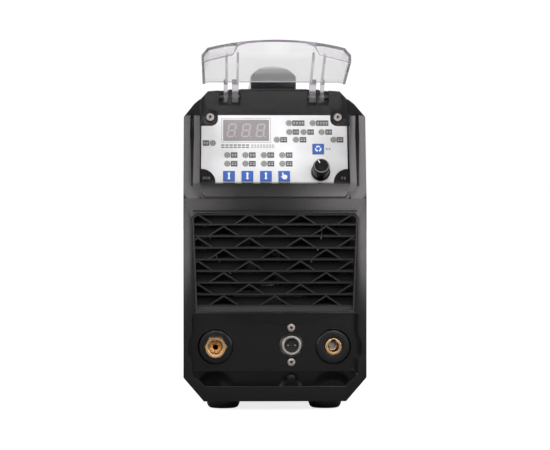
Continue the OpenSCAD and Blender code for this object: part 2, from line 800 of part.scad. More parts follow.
module rubber_feet() {
    color([0.05, 0.05, 0.05]) in_frame() for (p = foot_places) translate([p[0], p[1], 0]) difference() {
        rotate_extrude() polygon([
            [0, 0], [foot_d / 2 - 3, 0], [foot_d / 2 - 1.2, 1.2],
            [foot_d / 2, 4], [foot_d / 2, foot_h], [0, foot_h]]);
        translate([0, 0, -1]) cylinder(d = 10, h = 5);
        cylinder(d = foot_screw_d, h = 20);
    }
}

module feet_screws() {
    color([0.7, 0.7, 0.72]) in_frame() for (p = foot_places) translate([p[0], p[1], 1.6]) {
        cylinder(d = 8, h = 2.4);
        cylinder(d = foot_screw_d, h = 12);
    }
}

// ---------- rear ----------

rear_depth = 45;
fan_depth = 25;
fan_bore = 115;
fan_screw_pitch = 105;
switch_x = 35;
switch_z = 231;
rear_low_z = socket_z;
gland_x = 44;
gland_thread_d = 20;
inlet_thread_d = 12;
stud_x = 0;

function rear_outline(t) = mirrored([
    [59 - 0.45 * t, foot_h + t], [half_w - t, 27.7 + 0.45 * t],
    [half_w - t, 233.6 - 0.45 * t], [55.5 - 0.4 * t, case_top + wall + 0.1 - t]]);

module rear_panel() {
    color([0.09, 0.09, 0.1]) in_frame() difference() {
        front_slab(rear_y - rear_depth, rear_y) polygon(rear_outline(0));
        front_slab(rear_y - rear_depth - 1, rear_wall_y) polygon(rear_outline(wall));
        facing_front(0, rear_y + 1, fan_z) cylinder(d = fan_bore - 1, h = 6);
        for (x = [-1, 1], z = [-1, 1])
            facing_front(x * fan_screw_pitch / 2, rear_y + 1, fan_z + z * fan_screw_pitch / 2)
                cylinder(d = 4, h = 6);
        translate([switch_x - 12.1, rear_wall_y - 1, switch_z - 13.1]) cube([24.2, 6, 26.2]);
        facing_front(gland_x, rear_y + 1, rear_low_z) cylinder(d = gland_thread_d, h = 6);
        facing_front(-socket_x, rear_y + 1, rear_low_z) cylinder(d = inlet_thread_d, h = 6);
        facing_front(stud_x, rear_y + 1, rear_low_z) cylinder(d = 6, h = 6);
        foot_screw_holes();
    }
}

module ring_2d(r, w) {
    difference() {
        circle(r = r + w / 2, $fn = 96);
        circle(r = r - w / 2, $fn = 96);
    }
}

module fan_guard() {
    wire = 1.8;
    color([0.12, 0.12, 0.13]) in_frame() difference() {
        facing_front(0, rear_y + wire, fan_z) {
            for (r = [10:9.6:58]) linear_extrude(wire) ring_2d(r, wire);
            for (a = [45:90:359]) rotate(a) translate([9.2, -wire / 2, 0]) cube([64, wire, wire]);
            for (a = [45:90:359])
                rotate(a) translate([fan_screw_pitch / sqrt(2), 0, 0]) cylinder(d = 9, h = wire);
        }
        for (x = [-1, 1], z = [-1, 1])
            facing_front(x * fan_screw_pitch / 2, rear_y + 5, fan_z + z * fan_screw_pitch / 2)
                cylinder(d = 4, h = 6);
    }
}

module fan_frame() {
    color([0.07, 0.07, 0.07]) in_frame() difference() {
        facing_front(0, rear_wall_y, fan_z) {
            difference() {
                linear_extrude(fan_depth) square(fan_side, center = true);
                translate([0, 0, -1]) cylinder(d = fan_bore, h = fan_depth + 2, $fn = 96);
            }
            // motor seat on four struts, at the inner side
            translate([0, 0, fan_depth - 5]) cylinder(d = 38, h = 5);
            for (a = [20:90:359]) rotate(a) translate([15, -2.5, fan_depth - 4]) cube([46, 5, 4]);
        }
        for (x = [-1, 1], z = [-1, 1])
            facing_front(x * fan_screw_pitch / 2, rear_y + 1, fan_z + z * fan_screw_pitch / 2)
                cylinder(d = 4, h = 40);
        facing_front(0, rear_y, fan_z) cylinder(d = 4 + 2 * shaft_play, h = 50);
    }
}

module fan_rotor() {
    blade_r = 55.5;
    color([0.06, 0.06, 0.06]) in_frame() facing_front(0, rear_wall_y - 2, fan_z) {
        cylinder(d = 39, h = 17);
        translate([0, 0, 16]) cylinder(d = 4, h = 6.5);
        intersection() {
            difference() {
                cylinder(r = blade_r, h = 17, $fn = 96);
                translate([0, 0, -1]) cylinder(d = 36, h = 20);
            }
            for (i = [0:fan_blades - 1]) rotate(i * 360 / fan_blades)
                translate([17, 0, 8.5]) rotate([25, 0, 0]) translate([0, -20, -1]) cube([42, 40, 2]);
        }
    }
}

module fan_screws() {
    color([0.7, 0.7, 0.72]) in_frame() for (x = [-1, 1], z = [-1, 1])
        facing_back(x * fan_screw_pitch / 2, rear_y + 1.8, fan_z + z * fan_screw_pitch / 2)
            cap_screw(4, 7.4, 2, 12);
}

rocker_pivot_y = rear_y - 2.5;
rocker_rest = 8;
rocker_half_w = 9.2;

module switch_housing() {
    color([0.05, 0.05, 0.05]) in_frame() difference() {
        union() {
            translate([switch_x - 14.5, rear_y, switch_z - 15.5]) cube([29, 1.8, 31]);
            translate([switch_x - 12, rear_y - 24, switch_z - 13]) cube([24, 24.1, 26]);
        }
        translate([switch_x - rocker_half_w - move_gap, rear_y - 11, switch_z - 11])
            cube([2 * rocker_half_w + 2 * move_gap, 14, 22]);
        translate([switch_x - 11, rocker_pivot_y, switch_z]) rotate([0, 90, 0])
            cylinder(d = 3 + 2 * shaft_play, h = 22);
    }
}

module power_rocker() {
    color([0.6, 0.06, 0.05]) in_frame() translate([switch_x, rocker_pivot_y, switch_z]) {
        rotate([-rocker_rest, 0, 0]) side_slab(-rocker_half_w, rocker_half_w)
            polygon([[-6, -5], [2, -9.4], [6.2, -9], [4.2, 0], [6.2, 9], [2, 9.4], [-6, 5]]);
        translate([-10.8, 0, 0]) rotate([0, 90, 0]) cylinder(d = 3, h = 21.6);
    }
}

module gas_inlet() {
    color([0.82, 0.64, 0.34]) in_frame() difference() {
        facing_back(-socket_x, rear_y, rear_low_z) {
            cylinder(d = 17 / cos(30), h = 5, $fn = 6);
            rotate_extrude() polygon([
                [0, 4.9], [4, 4.9], [4, 9], [4.9, 9], [4, 13.6], [4.9, 13.6], [4, 18.2], [4.9, 18.2],
                [3.6, rear_reach], [0, rear_reach]]);
            translate([0, 0, -12]) cylinder(d = inlet_thread_d, h = 12.1);
            translate([0, 0, -7]) cylinder(d = 17 / cos(30), h = 4, $fn = 6);
            translate([0, 0, -26]) cylinder(d = 7, h = 15);
        }
        facing_back(-socket_x, rear_y - 40, rear_low_z) cylinder(d = 4, h = 80);
    }
}

valve_y = 300;
valve_len = 28;

module gas_valve() {
    color([0.78, 0.6, 0.33]) in_frame() difference() {
        union() {
            translate([-socket_x - 12, valve_y, rear_low_z - 18]) cube([24, valve_len, 30]);
            translate([-socket_x - 1, valve_y + 4, tray_floor_z])
                cube([12, 20, rear_low_z - 17.9 - tray_floor_z]);
            facing_front(-socket_x, valve_y + valve_len + 10, rear_low_z)
                cylinder(d = 7, h = valve_len + 20);
        }
        facing_front(-socket_x, valve_y + valve_len + 30, rear_low_z) cylinder(d = 4, h = valve_len + 60);
    }
}

module valve_coil() {
    color([0.1, 0.1, 0.1]) in_frame()
        translate([-socket_x - 13, valve_y + 1, rear_low_z + 12]) cube([26, 26, 30]);
}

module hose(y0, y1) {
    difference() {
        facing_front(-socket_x, y1, rear_low_z) cylinder(d = 9.4, h = y1 - y0);
        facing_front(-socket_x, y1 + 1, rear_low_z) cylinder(d = 7, h = y1 - y0 + 2);
    }
}

module gas_hoses() {
    color([0.08, 0.08, 0.09]) in_frame() {
        hose(flange_front + 36, valve_y - 0.2);
        hose(valve_y + valve_len + 0.2, rear_y - 13);
    }
}

module cable_gland() {
    color([0.1, 0.1, 0.1]) in_frame() difference() {
        facing_back(gland_x, rear_y, rear_low_z) {
            cylinder(d = 27, h = 5, $fn = 6);
            rotate_extrude() polygon([[0, 4.9], [11.6, 4.9], [11.6, 15], [9.4, rear_reach - 1.4],
                [8, rear_reach], [0, rear_reach]]);
            translate([0, 0, -12]) cylinder(d = gland_thread_d, h = 12.1);
            translate([0, 0, -8.2]) cylinder(d = 27, h = 5.2, $fn = 6);
        }
        facing_back(gland_x, rear_y - 20, rear_low_z) cylinder(d = 10, h = 60);
    }
}

module earth_stud() {
    color([0.75, 0.75, 0.76]) in_frame() facing_back(stud_x, rear_y, rear_low_z) {
        translate([0, 0, -12]) cylinder(d = 6, h = 30);
        cylinder(d = 14, h = 1.6);
        translate([0, 0, 1.58]) cylinder(d = 11.5, h = 5, $fn = 6);
        translate([0, 0, -8]) cylinder(d = 11.5, h = 5, $fn = 6);
    }
}

// ---------- inside ----------

board_half = 67;
board_y = 66;
board_len = 228;
board_top = board_z + board_t;

module main_board() {
    color([0.06, 0.3, 0.14]) in_frame() difference() {
        translate([-board_half, board_y, board_z]) cube([2 * board_half, board_len, board_t]);
        for (p = pillar_places) translate([p[0], p[1], board_z - 1]) cylinder(d = 3, h = 4);
    }
}

module board_pillars() {
    color([0.75, 0.72, 0.6]) in_frame() for (p = pillar_places) translate([p[0], p[1], tray_floor_z]) {
        cylinder(d = 7, h = board_z - tray_floor_z);
        cylinder(d = 3, h = board_top - tray_floor_z);
        translate([0, 0, board_top - tray_floor_z]) cylinder(d = 6, h = 2);
    }
}

sink_y = 238;
sink_len = 54;
sink_top = 128;

module heat_sinks() {
    color([0.7, 0.71, 0.73]) in_frame() both_sides() {
        translate([7, sink_y, board_top]) cube([4, sink_len, sink_top - board_top]);
        for (i = [0:7]) translate([10.9, sink_y, board_top + 4 + i * 12]) cube([23, sink_len, 2]);
    }
}

module power_transistors() {
    color([0.08, 0.08, 0.08]) in_frame() both_sides() for (i = [0, 1]) {
        translate([2, sink_y + 5 + i * 26, board_top + 12]) cube([5, 16, 21]);
        for (k = [-1, 0, 1])
            translate([3.9, sink_y + 12.4 + k * 5.4 + i * 26, board_top]) cube([1.2, 1.2, 12.1]);
    }
}

module bus_capacitors() {
    color([0.1, 0.12, 0.2]) in_frame() for (y = [176, 210, 244])
        translate([51.6, y, board_top]) rotate_extrude() polygon([
            [0, 0], [15, 0], [15, 2.6], [14.4, 3.4], [15, 4.2], [15, 49], [14, 50], [0, 50]]);
}

core_y = 176;

module transformer_core() {
    color([0.16, 0.16, 0.17]) in_frame() difference() {
        translate([-33, core_y, board_top + 0.1]) cube([66, 24, 62]);
        translate([-22, core_y - 1, board_top + 11]) cube([12, 26, 40]);
        translate([10, core_y - 1, board_top + 11]) cube([12, 26, 40]);
    }
}

module transformer_winding() {
    color([0.72, 0.42, 0.18]) in_frame() difference() {
        translate([-21.6, core_y - 12, board_top + 12]) cube([43.2, 48, 38]);
        translate([-10.2, core_y - 0.2, board_top + 10]) cube([20.4, 24.4, 42]);
    }
}

module toroid(x, y, outer, bore, depth) {
    facing_front(x, y + depth, board_top + outer / 2) rotate_extrude() polygon([
        [bore / 2, 2], [bore / 2 + 2, 0], [outer / 2 - 3, 0], [outer / 2, 3], [outer / 2, depth - 3],
        [outer / 2 - 3, depth], [bore / 2 + 2, depth], [bore / 2, depth - 2]]);
}

module output_inductor() { color([0.7, 0.4, 0.17]) in_frame() toroid(29, 78, 44, 18, 24); }

module arc_start_coil() { color([0.2, 0.2, 0.2]) in_frame() toroid(-19, 78, 46, 22, 26); }

rectifier_y = 120;

module output_rectifier() {
    color([0.68, 0.69, 0.71]) in_frame() {
        translate([-36, rectifier_y, board_top]) cube([90, 4, 50]);
        for (i = [0:7]) translate([-36 + i * 12.5, rectifier_y + 3.9, board_top]) cube([2, 26, 50]);
        for (x = [-24, 2, 28]) translate([x, rectifier_y - 5, board_top + 14]) cube([16, 5, 21]);
    }
}

module bus_bars() {
    bar_z = 44;
    bar_h = 14;
    color([0.78, 0.42, 0.22]) in_frame() {
        difference() {
            union() {
                translate([socket_x - 7.5, flange_front + 31, socket_z - 8]) cube([16, 3, 16]);
                translate([socket_x + 5.5, flange_front + 31, bar_z])
                    cube([3, rectifier_y - flange_front - 31 + 2, bar_h]);
                translate([54, rectifier_y - 1, bar_z]) cube([4, 3, bar_h]);
            }
            facing_front(socket_x, 80, socket_z) cylinder(d = 6, h = 40);
        }
        difference() {
            union() {
                translate([-64, 45, socket_z - 10]) cube([25, 2.4, 20]);
                translate([-64, 45, bar_z]) cube([3, 50, 20]);
                translate([-64, 80, 61]) cube([22, 15, 3]);
            }
            facing_front(-socket_x, 60, socket_z) cylinder(d = 14, h = 40);
        }
    }
}

front_fascia();
front_grille();
connector_plate();
control_overlay();
display_window();
led_display();
display_board();
indicator_leds();
tact_switches();
key_current();
key_time();
key_gas();
key_mode();
key_select();
encoder_body();
encoder_shaft();
adjust_knob();
panel_screws();
flip_cover();
hinge_pins();
torch_flange();
torch_socket();
earth_flange();
earth_socket();
socket_bolt();
control_socket_shell();
control_socket_insert();
control_socket_pins();
control_socket_screws();
base_tray();
top_cover();
case_screws();
handle();
handle_screws();
rubber_feet();
feet_screws();
rear_panel();
fan_guard();
fan_frame();
fan_rotor();
fan_screws();
switch_housing();
power_rocker();
gas_inlet();
gas_valve();
valve_coil();
gas_hoses();
cable_gland();
earth_stud();
main_board();
board_pillars();
heat_sinks();
power_transistors();
bus_capacitors();
transformer_core();
transformer_winding();
output_inductor();
output_rectifier();
arc_start_coil();
bus_bars();
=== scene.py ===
"""Looks of the TIG welding machine: materials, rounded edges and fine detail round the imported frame."""
import json
import math

import bmesh
import bpy
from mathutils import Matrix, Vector


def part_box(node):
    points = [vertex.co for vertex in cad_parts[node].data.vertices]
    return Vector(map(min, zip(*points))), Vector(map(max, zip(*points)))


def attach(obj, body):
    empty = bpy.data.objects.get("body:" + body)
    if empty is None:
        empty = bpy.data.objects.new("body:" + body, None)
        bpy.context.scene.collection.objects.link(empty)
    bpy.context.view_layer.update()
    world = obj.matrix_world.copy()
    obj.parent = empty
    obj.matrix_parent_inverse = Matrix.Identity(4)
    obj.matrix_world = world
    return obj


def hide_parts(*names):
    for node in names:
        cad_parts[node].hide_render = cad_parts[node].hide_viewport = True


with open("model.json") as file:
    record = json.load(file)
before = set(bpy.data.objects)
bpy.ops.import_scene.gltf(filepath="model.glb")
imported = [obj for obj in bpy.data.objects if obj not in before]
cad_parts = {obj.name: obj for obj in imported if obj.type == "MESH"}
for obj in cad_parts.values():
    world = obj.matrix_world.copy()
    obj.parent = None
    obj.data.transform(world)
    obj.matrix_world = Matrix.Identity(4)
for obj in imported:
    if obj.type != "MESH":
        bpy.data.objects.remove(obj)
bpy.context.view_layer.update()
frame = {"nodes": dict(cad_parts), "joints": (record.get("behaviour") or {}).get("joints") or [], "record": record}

# ---------- places, all worked out from the frame ----------

MM = 0.001
MACHINE = "machine"
JOINTS = {joint["name"]: joint for joint in frame["joints"]}
# front face of the fascia
FRONT_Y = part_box("front_fascia")[0].y


def at(x, y, z):
    """Point given in millimetres from the middle of the fascia's front, on the floor."""
    return Vector((x * MM, FRONT_Y + y * MM, z * MM))


def face_middle(low, high):
    """Middle of the front face of a box, in the millimetres that at() takes."""
    return (low.x + high.x) / 2 / MM, (low.y - FRONT_Y) / MM, (low.z + high.z) / 2 / MM


# the panel's own directions, u to the right and v up its slope, from the knob's axis
KNOB_AXIS = Vector(JOINTS["knob_turn"]["axis"]).normalized()
KNOB_U, KNOB_V = 38.5, 8.5
PANEL_UP = Vector((0, KNOB_AXIS.z, -KNOB_AXIS.y))
PANEL_ORIGIN = Vector(JOINTS["knob_turn"]["pos_m"]) - Vector((KNOB_U * MM, 0, 0)) - PANEL_UP * KNOB_V * MM


def panel(u, v, w=0.0):
    """Point on the sloping control panel: u to the right, v up the slope, w out of it, in millimetres."""
    return PANEL_ORIGIN + Vector((u * MM, 0, 0)) + PANEL_UP * v * MM + KNOB_AXIS * w * MM


# ---------- camera ----------

def make_camera():
    """Long lens at mid height, a little left of the machine's middle."""
    eye_height = 154
    eye_side = -42
    eye_distance = 1600
    lens = 126.4
    data = bpy.data.cameras.new("camera")
    data.sensor_width = 36
    data.lens = lens
    camera = bpy.data.objects.new("camera", data)
    bpy.context.scene.collection.objects.link(camera)
    camera.location = at(eye_side, -eye_distance, eye_height)
    aim = at(-0.1, 0, eye_height + 0.2) - camera.location
    camera.rotation_euler = aim.to_track_quat("-Z", "Y").to_euler()
    bpy.context.scene.camera = camera


make_camera()


# ---------- materials ----------

# the part of a noise texture's range that its values really fill
NOISE_LOW, NOISE_HIGH = 0.3, 0.7


def shader(name, color, roughness, metallic=0.0, **sockets):
    """A material with one Principled shader. Sockets are named with _ for a space."""
    material = bpy.data.materials.new(name)
    material.use_nodes = True
    bsdf = material.node_tree.nodes["Principled BSDF"]
    bsdf.inputs["Base Color"].default_value = (*color, 1)
    bsdf.inputs["Roughness"].default_value = roughness
    bsdf.inputs["Metallic"].default_value = metallic
    for socket, value in sockets.items():
        bsdf.inputs[socket.replace("_", " ")].default_value = value
    material.diffuse_color = (*color, 1)
    return material


def add_node(material, kind, **values):
    """A new node. Values are sockets where the node has one of that name, else settings."""
    node = material.node_tree.nodes.new(kind)
    for key, value in values.items():
        if key in node.inputs:
            node.inputs[key].default_value = value
        else:
            setattr(node, key, value)
    return node


def link(material, source, target):
    """Lead one node's output to another's input."""
    material.node_tree.links.new(source, target)


def noise(material, scale, detail=3.0, stretch=(1, 1, 1)):
    """Noise in the object's own coordinates, scale in lumps a metre."""
    place = add_node(material, "ShaderNodeTexCoord")
    mapping = add_node(material, "ShaderNodeMapping")
    mapping.inputs["Scale"].default_value = stretch
    texture = add_node(material, "ShaderNodeTexNoise", Scale=scale, Detail=detail)
    link(material, place.outputs["Object"], mapping.inputs["Vector"])
    link(material, mapping.outputs["Vector"], texture.inputs["Vector"])
    return texture.outputs["Fac"]


def add_bump(material, height, strength, distance):
    """Relief on the surface, distance in metres."""
    bump = add_node(material, "ShaderNodeBump", Strength=strength, Distance=distance)
    link(material, height, bump.inputs["Height"])
    link(material, bump.outputs["Normal"], material.node_tree.nodes["Principled BSDF"].inputs["Normal"])


def vary(material, socket, height, low, high):
    """Lead a socket between two numbers or two colours by a noise."""
    bsdf = material.node_tree.nodes["Principled BSDF"]
    if isinstance(low, tuple):
        ramp = add_node(material, "ShaderNodeValToRGB")
        stops = ramp.color_ramp.elements
        for stop, position, color in zip(stops, (NOISE_LOW, NOISE_HIGH), (low, high)):
            stop.position = position
            stop.color = (*color, 1)
        link(material, height, ramp.inputs["Fac"])
        link(material, ramp.outputs["Color"], bsdf.inputs[socket])
        return
    spread = add_node(material, "ShaderNodeMapRange")
    set_range(spread, NOISE_LOW, NOISE_HIGH, low, high)
    link(material, height, spread.inputs["Value"])
    link(material, spread.outputs["Result"], bsdf.inputs[socket])


def set_range(node, from_low, from_high, to_low, to_high):
    """Constants of a Map Range node."""
    node.inputs["From Min"].default_value = from_low
    node.inputs["From Max"].default_value = from_high
    node.inputs["To Min"].default_value = to_low
    node.inputs["To Max"].default_value = to_high


def shade(color, factor):
    """The colour made darker or lighter by a factor."""
    return tuple(part * factor for part in color)


def moulded(name, color, roughness, grain=2600, depth=0.08, spread=0.03):
    """Injection-moulded plastic with a fine eroded grain and slightly uneven gloss."""
    material = shader(name, color, roughness, Specular_IOR_Level=0.5)
    vary(material, "Roughness", noise(material, 60, 4), roughness - spread, roughness + spread)
    vary(material, "Base Color", noise(material, 25, 2), shade(color, 0.86), shade(color, 1.16))
    add_bump(material, noise(material, grain, 2), depth, 0.00006)
    return material


def painted(name, color, roughness):
    """Powder-coated steel with orange peel."""
    material = shader(name, color, roughness, Coat_Weight=0.15, Coat_Roughness=0.3)
    vary(material, "Roughness", noise(material, 90, 3), roughness - 0.05, roughness + 0.07)
    vary(material, "Base Color", noise(material, 30, 2), shade(color, 0.9), shade(color, 1.12))
    add_bump(material, noise(material, 900, 2), 0.35, 0.00012)
    return material


def metal(name, color, roughness, brush=(1, 1, 1), spread=0.04):
    """Bare or plated metal with fine machining marks along one direction."""
    material = shader(name, color, roughness, 1.0)
    vary(material, "Roughness", noise(material, 300, 4, brush), roughness - spread, roughness + spread)
    vary(material, "Base Color", noise(material, 120, 3), shade(color, 0.9), color)
    add_bump(material, noise(material, 1500, 3, brush), 0.04, 0.00004)
    return material


def make_materials():
    """One material for each slot of the record, but for the clear cover's."""
    return {
        "black_abs": moulded("black_abs", (0.0068, 0.0065, 0.0077), 0.14, 2600, 0.03, 0.012),
        "overlay_print": moulded("overlay_film", (0.84, 0.84, 0.855), 0.3, 1800, 0.05, 0.03),
        "display_grey": moulded("display_block", (0.24, 0.22, 0.23), 0.45),
        "board_green": moulded("circuit_board", (0.02, 0.13, 0.06), 0.35, 700, 0.3),
        "chip_black": moulded("chip_plastic", (0.02, 0.02, 0.022), 0.55),
        "blue_key": moulded("blue_key", (0.036, 0.135, 0.54), 0.38, 1800, 0.1),
        "zinc_steel": metal("zinc_steel", (0.46, 0.45, 0.435), 0.33),
        "screw_steel": metal("screw_steel", (0.50, 0.46, 0.43), 0.3),
        "knob_black": moulded("knob_plastic", (0.006, 0.006, 0.007), 0.22, 2600, 0.05, 0.03),
        "bakelite": moulded("socket_plastic", (0.005, 0.006, 0.008), 0.17),
        "brass": metal("brass", (0.72, 0.46, 0.24), 0.25),
        "case_paint": painted("case_paint", (0.014, 0.014, 0.015), 0.46),
        "guard_paint": painted("guard_paint", (0.03, 0.03, 0.03), 0.4),
        "foot_rubber": moulded("rubber", (0.009, 0.009, 0.009), 0.4, 1400, 0.3),
        "fan_plastic": moulded("fan_plastic", (0.016, 0.016, 0.017), 0.45),
        "rocker_red": moulded("rocker_plastic", (0.42, 0.015, 0.012), 0.25, 2200, 0.08),
        "aluminium": metal("dark_anodised", (0.055, 0.055, 0.058), 0.42, (1, 0.05, 1)),
        "capacitor_sleeve": moulded("capacitor_sleeve", (0.02, 0.03, 0.09), 0.28),
        "ferrite": moulded("ferrite", (0.05, 0.05, 0.052), 0.6, 900, 0.5),
        "copper": metal("enamelled_copper", (0.75, 0.33, 0.13), 0.3),
        "lamp_lens": moulded("lamp_lens", (0.40, 0.425, 0.385), 0.22, 1500, 0.05),
        "display_tint": moulded("display_window", (0.33, 0.305, 0.32), 0.14, 1800, 0.03, 0.03),
    }


MATERIALS = make_materials()
RECORD = frame["record"]
SLOT_OF = {part["node"]: part["material_slot"] for part in RECORD["subparts"]}
BODY_OF = {node: body for body, nodes in RECORD["behaviour"]["bodies"].items() for node in nodes}


# ---------- mesh tools ----------

def piece(name, mesh, material, body=MACHINE, slot=None):
    """A new object made of a finished mesh, riding on a body."""
    obj = bpy.data.objects.new(name, mesh)
    bpy.context.scene.collection.objects.link(obj)
    obj.data.materials.clear()
    obj.data.materials.append(material)
    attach(obj, body)
    return obj


def to_mesh(name, bm):
    """Finished mesh of a bmesh, which is freed."""
    mesh = bpy.data.meshes.new(name)
    bmesh.ops.recalc_face_normals(bm, faces=bm.faces)
    bm.to_mesh(mesh)
    bm.free()
    return mesh


def circle(radius, steps, middle_a=0.0, middle_b=0.0):
    """Points (a, b) round a circle."""
    turns = [2 * math.pi * i / steps for i in range(steps)]
    return [(middle_a + radius * math.cos(t), middle_b + radius * math.sin(t)) for t in turns]


def join_loops(bm, near, far):
    """Quads between two closed loops of as many points."""
    for i in range(len(near)):
        j = (i + 1) % len(near)
        bm.faces.new((near[i], near[j], far[j], far[i]))


def add_prism(bm, outline, low, high, place):
    """Closed prism over a 2D outline. place turns (a, b, depth) into a point."""
    bottom = [bm.verts.new(place(a, b, low)) for a, b in outline]
    top = [bm.verts.new(place(a, b, high)) for a, b in outline]
    bm.faces.new(top)
    bm.faces.new(list(reversed(bottom)))
    join_loops(bm, bottom, top)


def add_ring(bm, centre_a, centre_b, inner, outer, low, high, place, steps=48):
    """Closed flat ring with a rectangular section."""
    loops = []
    for radius, depth in ((outer, low), (outer, high), (inner, high), (inner, low)):
        loops.append([bm.verts.new(place(a, b, depth)) for a, b in circle(radius, steps, centre_a, centre_b)])
    for near, far in zip(loops, loops[1:] + loops[:1]):
        join_loops(bm, near, far)


def add_turned(bm, profile, place, steps=48):
    """Closed turned solid. profile holds (radius, height) from the axis out and back to the axis."""
    rings = []
    for radius, height in profile:
        points = circle(radius, steps) if radius > 0 else [(0, 0)]
        rings.append([bm.verts.new(place(a, b, height)) for a, b in points])
    for near, far in zip(rings, rings[1:]):
        if len(near) == len(far):
            join_loops(bm, near, far)
            continue
        for i in range(steps):
            j = (i + 1) % steps
            if len(near) == 1:
                bm.faces.new((near[0], far[j], far[i]))
            else:
                bm.faces.new((near[i], near[j], far[0]))


def rectangle(a, b, width, height):
    """Outline of a rectangle centred on (a, b)."""
    return [(a - width / 2, b - height / 2), (a + width / 2, b - height / 2),
            (a + width / 2, b + height / 2), (a - width / 2, b + height / 2)]


def apply_modifiers(obj):
    """Turn an object's modifiers into mesh."""
    bpy.context.view_layer.objects.active = obj
    for other in bpy.context.selected_objects:
        other.select_set(False)
    obj.select_set(True)
    for modifier in list(obj.modifiers):
        bpy.ops.object.modifier_apply(modifier=modifier.name)


def bevel(obj, width, segments=2, angle=30):
    """Round every edge sharper than the angle, then shade smooth with flat faces kept flat."""
    modifier = obj.modifiers.new("edge", "BEVEL")
    modifier.width = width * MM
    modifier.segments = segments
    modifier.limit_method = "ANGLE"
    modifier.angle_limit = math.radians(angle)
    modifier.use_clamp_overlap = False
    modifier.miter_outer = "MITER_ARC"
    apply_modifiers(obj)
    smooth(obj)


def smooth(obj, angle=32):
    """Shade smooth, but for edges sharper than the angle."""
    for polygon in obj.data.polygons:
        polygon.use_smooth = True
    bm = bmesh.new()
    bm.from_mesh(obj.data)
    for edge in bm.edges:
        sharp = len(edge.link_faces) != 2 or edge.calc_face_angle(0) > math.radians(angle)
        edge.smooth = not sharp
    bm.to_mesh(obj.data)
    bm.free()
    modifier = obj.modifiers.new("normals", "WEIGHTED_NORMAL")
    modifier.keep_sharp = True
    apply_modifiers(obj)


def clean_copy(node):
    """Mesh of a CAD node with its seams welded, ready for softened edges."""
    bm = bmesh.new()
    bm.from_mesh(frame["nodes"][node].data)
    weld, sliver = 0.002 * MM, 0.001 * MM
    bmesh.ops.remove_doubles(bm, verts=bm.verts, dist=weld)
    bmesh.ops.dissolve_degenerate(bm, edges=bm.edges, dist=sliver)
    return bm


def soften(node, name, width):
    """Stand-in for a CAD node with the same shape and moulded, slightly rounded edges."""
    slot = SLOT_OF[node]
    obj = piece(name, to_mesh(name, clean_copy(node)), MATERIALS[slot], BODY_OF[node], slot)
    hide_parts(node)
    bevel(obj, width)
    return obj


# ---------- CAD nodes: materials and softened edges ----------

def paint_cad_nodes():
    """The record's slots give the CAD nodes their materials. The clear cover's node is replaced later."""
    for node, obj in frame["nodes"].items():
        obj.data.materials.clear()
        obj.data.materials.append(MATERIALS.get(SLOT_OF[node], MATERIALS["black_abs"]))


paint_cad_nodes()

# name of each node's stand-in and the width of its rounded edges in millimetres
EDGES = {
    "front_fascia": ("fascia_shell", 0.3),
    "front_grille": ("grille_insert", 0.15),
    "connector_plate": ("socket_plate", 0.2),
    "rear_panel": ("rear_shell", 0.8),
    "handle": ("carry_handle", 1.4),
    "top_cover": ("case_cover", 0.25),
    "base_tray": ("case_tray", 0.25),
    "torch_flange": ("torch_collar", 0.6),
    "earth_socket": ("work_connector", 0.3),
    "earth_flange": ("work_collar", 0.6),
    "control_socket_shell": ("control_ring", 0.25),
    "control_socket_insert": ("control_insert", 0.15),
    "rubber_feet": ("feet", 0.5),
    "switch_housing": ("switch_bezel", 0.4),
    "power_rocker": ("switch_rocker", 0.35),
    "gas_inlet": ("gas_nipple", 0.2),
    "cable_gland": ("gland_body", 0.4),
    "earth_stud": ("stud_and_nuts", 0.2),
    "fan_frame": ("fan_housing", 0.4),
    "adjust_knob": ("knob_body", 0.25),
    "key_current": ("current_key_cap", 0.3),
    "key_time": ("time_key_cap", 0.3),
    "key_gas": ("gas_key_cap", 0.3),
    "key_mode": ("mode_key_cap", 0.3),
    "key_select": ("select_key_cap", 0.3),
    "panel_screws": ("overlay_screws", 0.2),
    "control_socket_screws": ("socket_screws", 0.2),
    "case_screws": ("cover_screws", 0.2),
    "fan_screws": ("guard_screws", 0.2),
    "heat_sinks": ("finned_sinks", 0.2),
    "transformer_core": ("core_halves", 0.5),
    "transformer_winding": ("copper_turns", 2.5),
    "valve_coil": ("solenoid", 1.0),
    "gas_valve": ("valve_block", 0.5),
    "led_display": ("digit_block", 0.2),
    "display_window": ("window_pane", 0.1),
}
SOFT = {node: soften(node, name, width) for node, (name, width) in EDGES.items()}
# the louvres come from the mould a little more matt than the fascia
GRILLE_PLASTIC = moulded("grille_plastic", (0.015, 0.0147, 0.016), 0.36, 2600, 0.05, 0.02)
SOFT["front_grille"].data.materials[0] = GRILLE_PLASTIC


# ---------- clear cover ----------

# the open cover's angle above level
COVER_OPEN = math.radians(24)
# the sheet's two ends from the hinge
COVER_NEAR, COVER_REACH = 12.0, 88.0
# the sheet's w at its near end, and at the middle of its crowned far end
COVER_NEAR_W, CROWN_W = -9.8, -6.5
CROWN_R = 206.0
HINGE = Vector(JOINTS["cover_hinge"]["pos_m"])
COVER_OUT = Vector((0, -math.cos(COVER_OPEN), math.sin(COVER_OPEN)))
COVER_IN = Vector((0, -math.sin(COVER_OPEN), -math.cos(COVER_OPEN)))


def cover(x, r, w):
    """Point on the open cover: r away from the hinge, w towards its inside, in millimetres."""
    return HINGE + Vector((x * MM, 0, 0)) + COVER_OUT * r * MM + COVER_IN * w * MM


def crown(x):
    """w of the sheet's far end, highest in the machine's middle."""
    return CROWN_W + CROWN_R - math.sqrt(CROWN_R ** 2 - x ** 2)


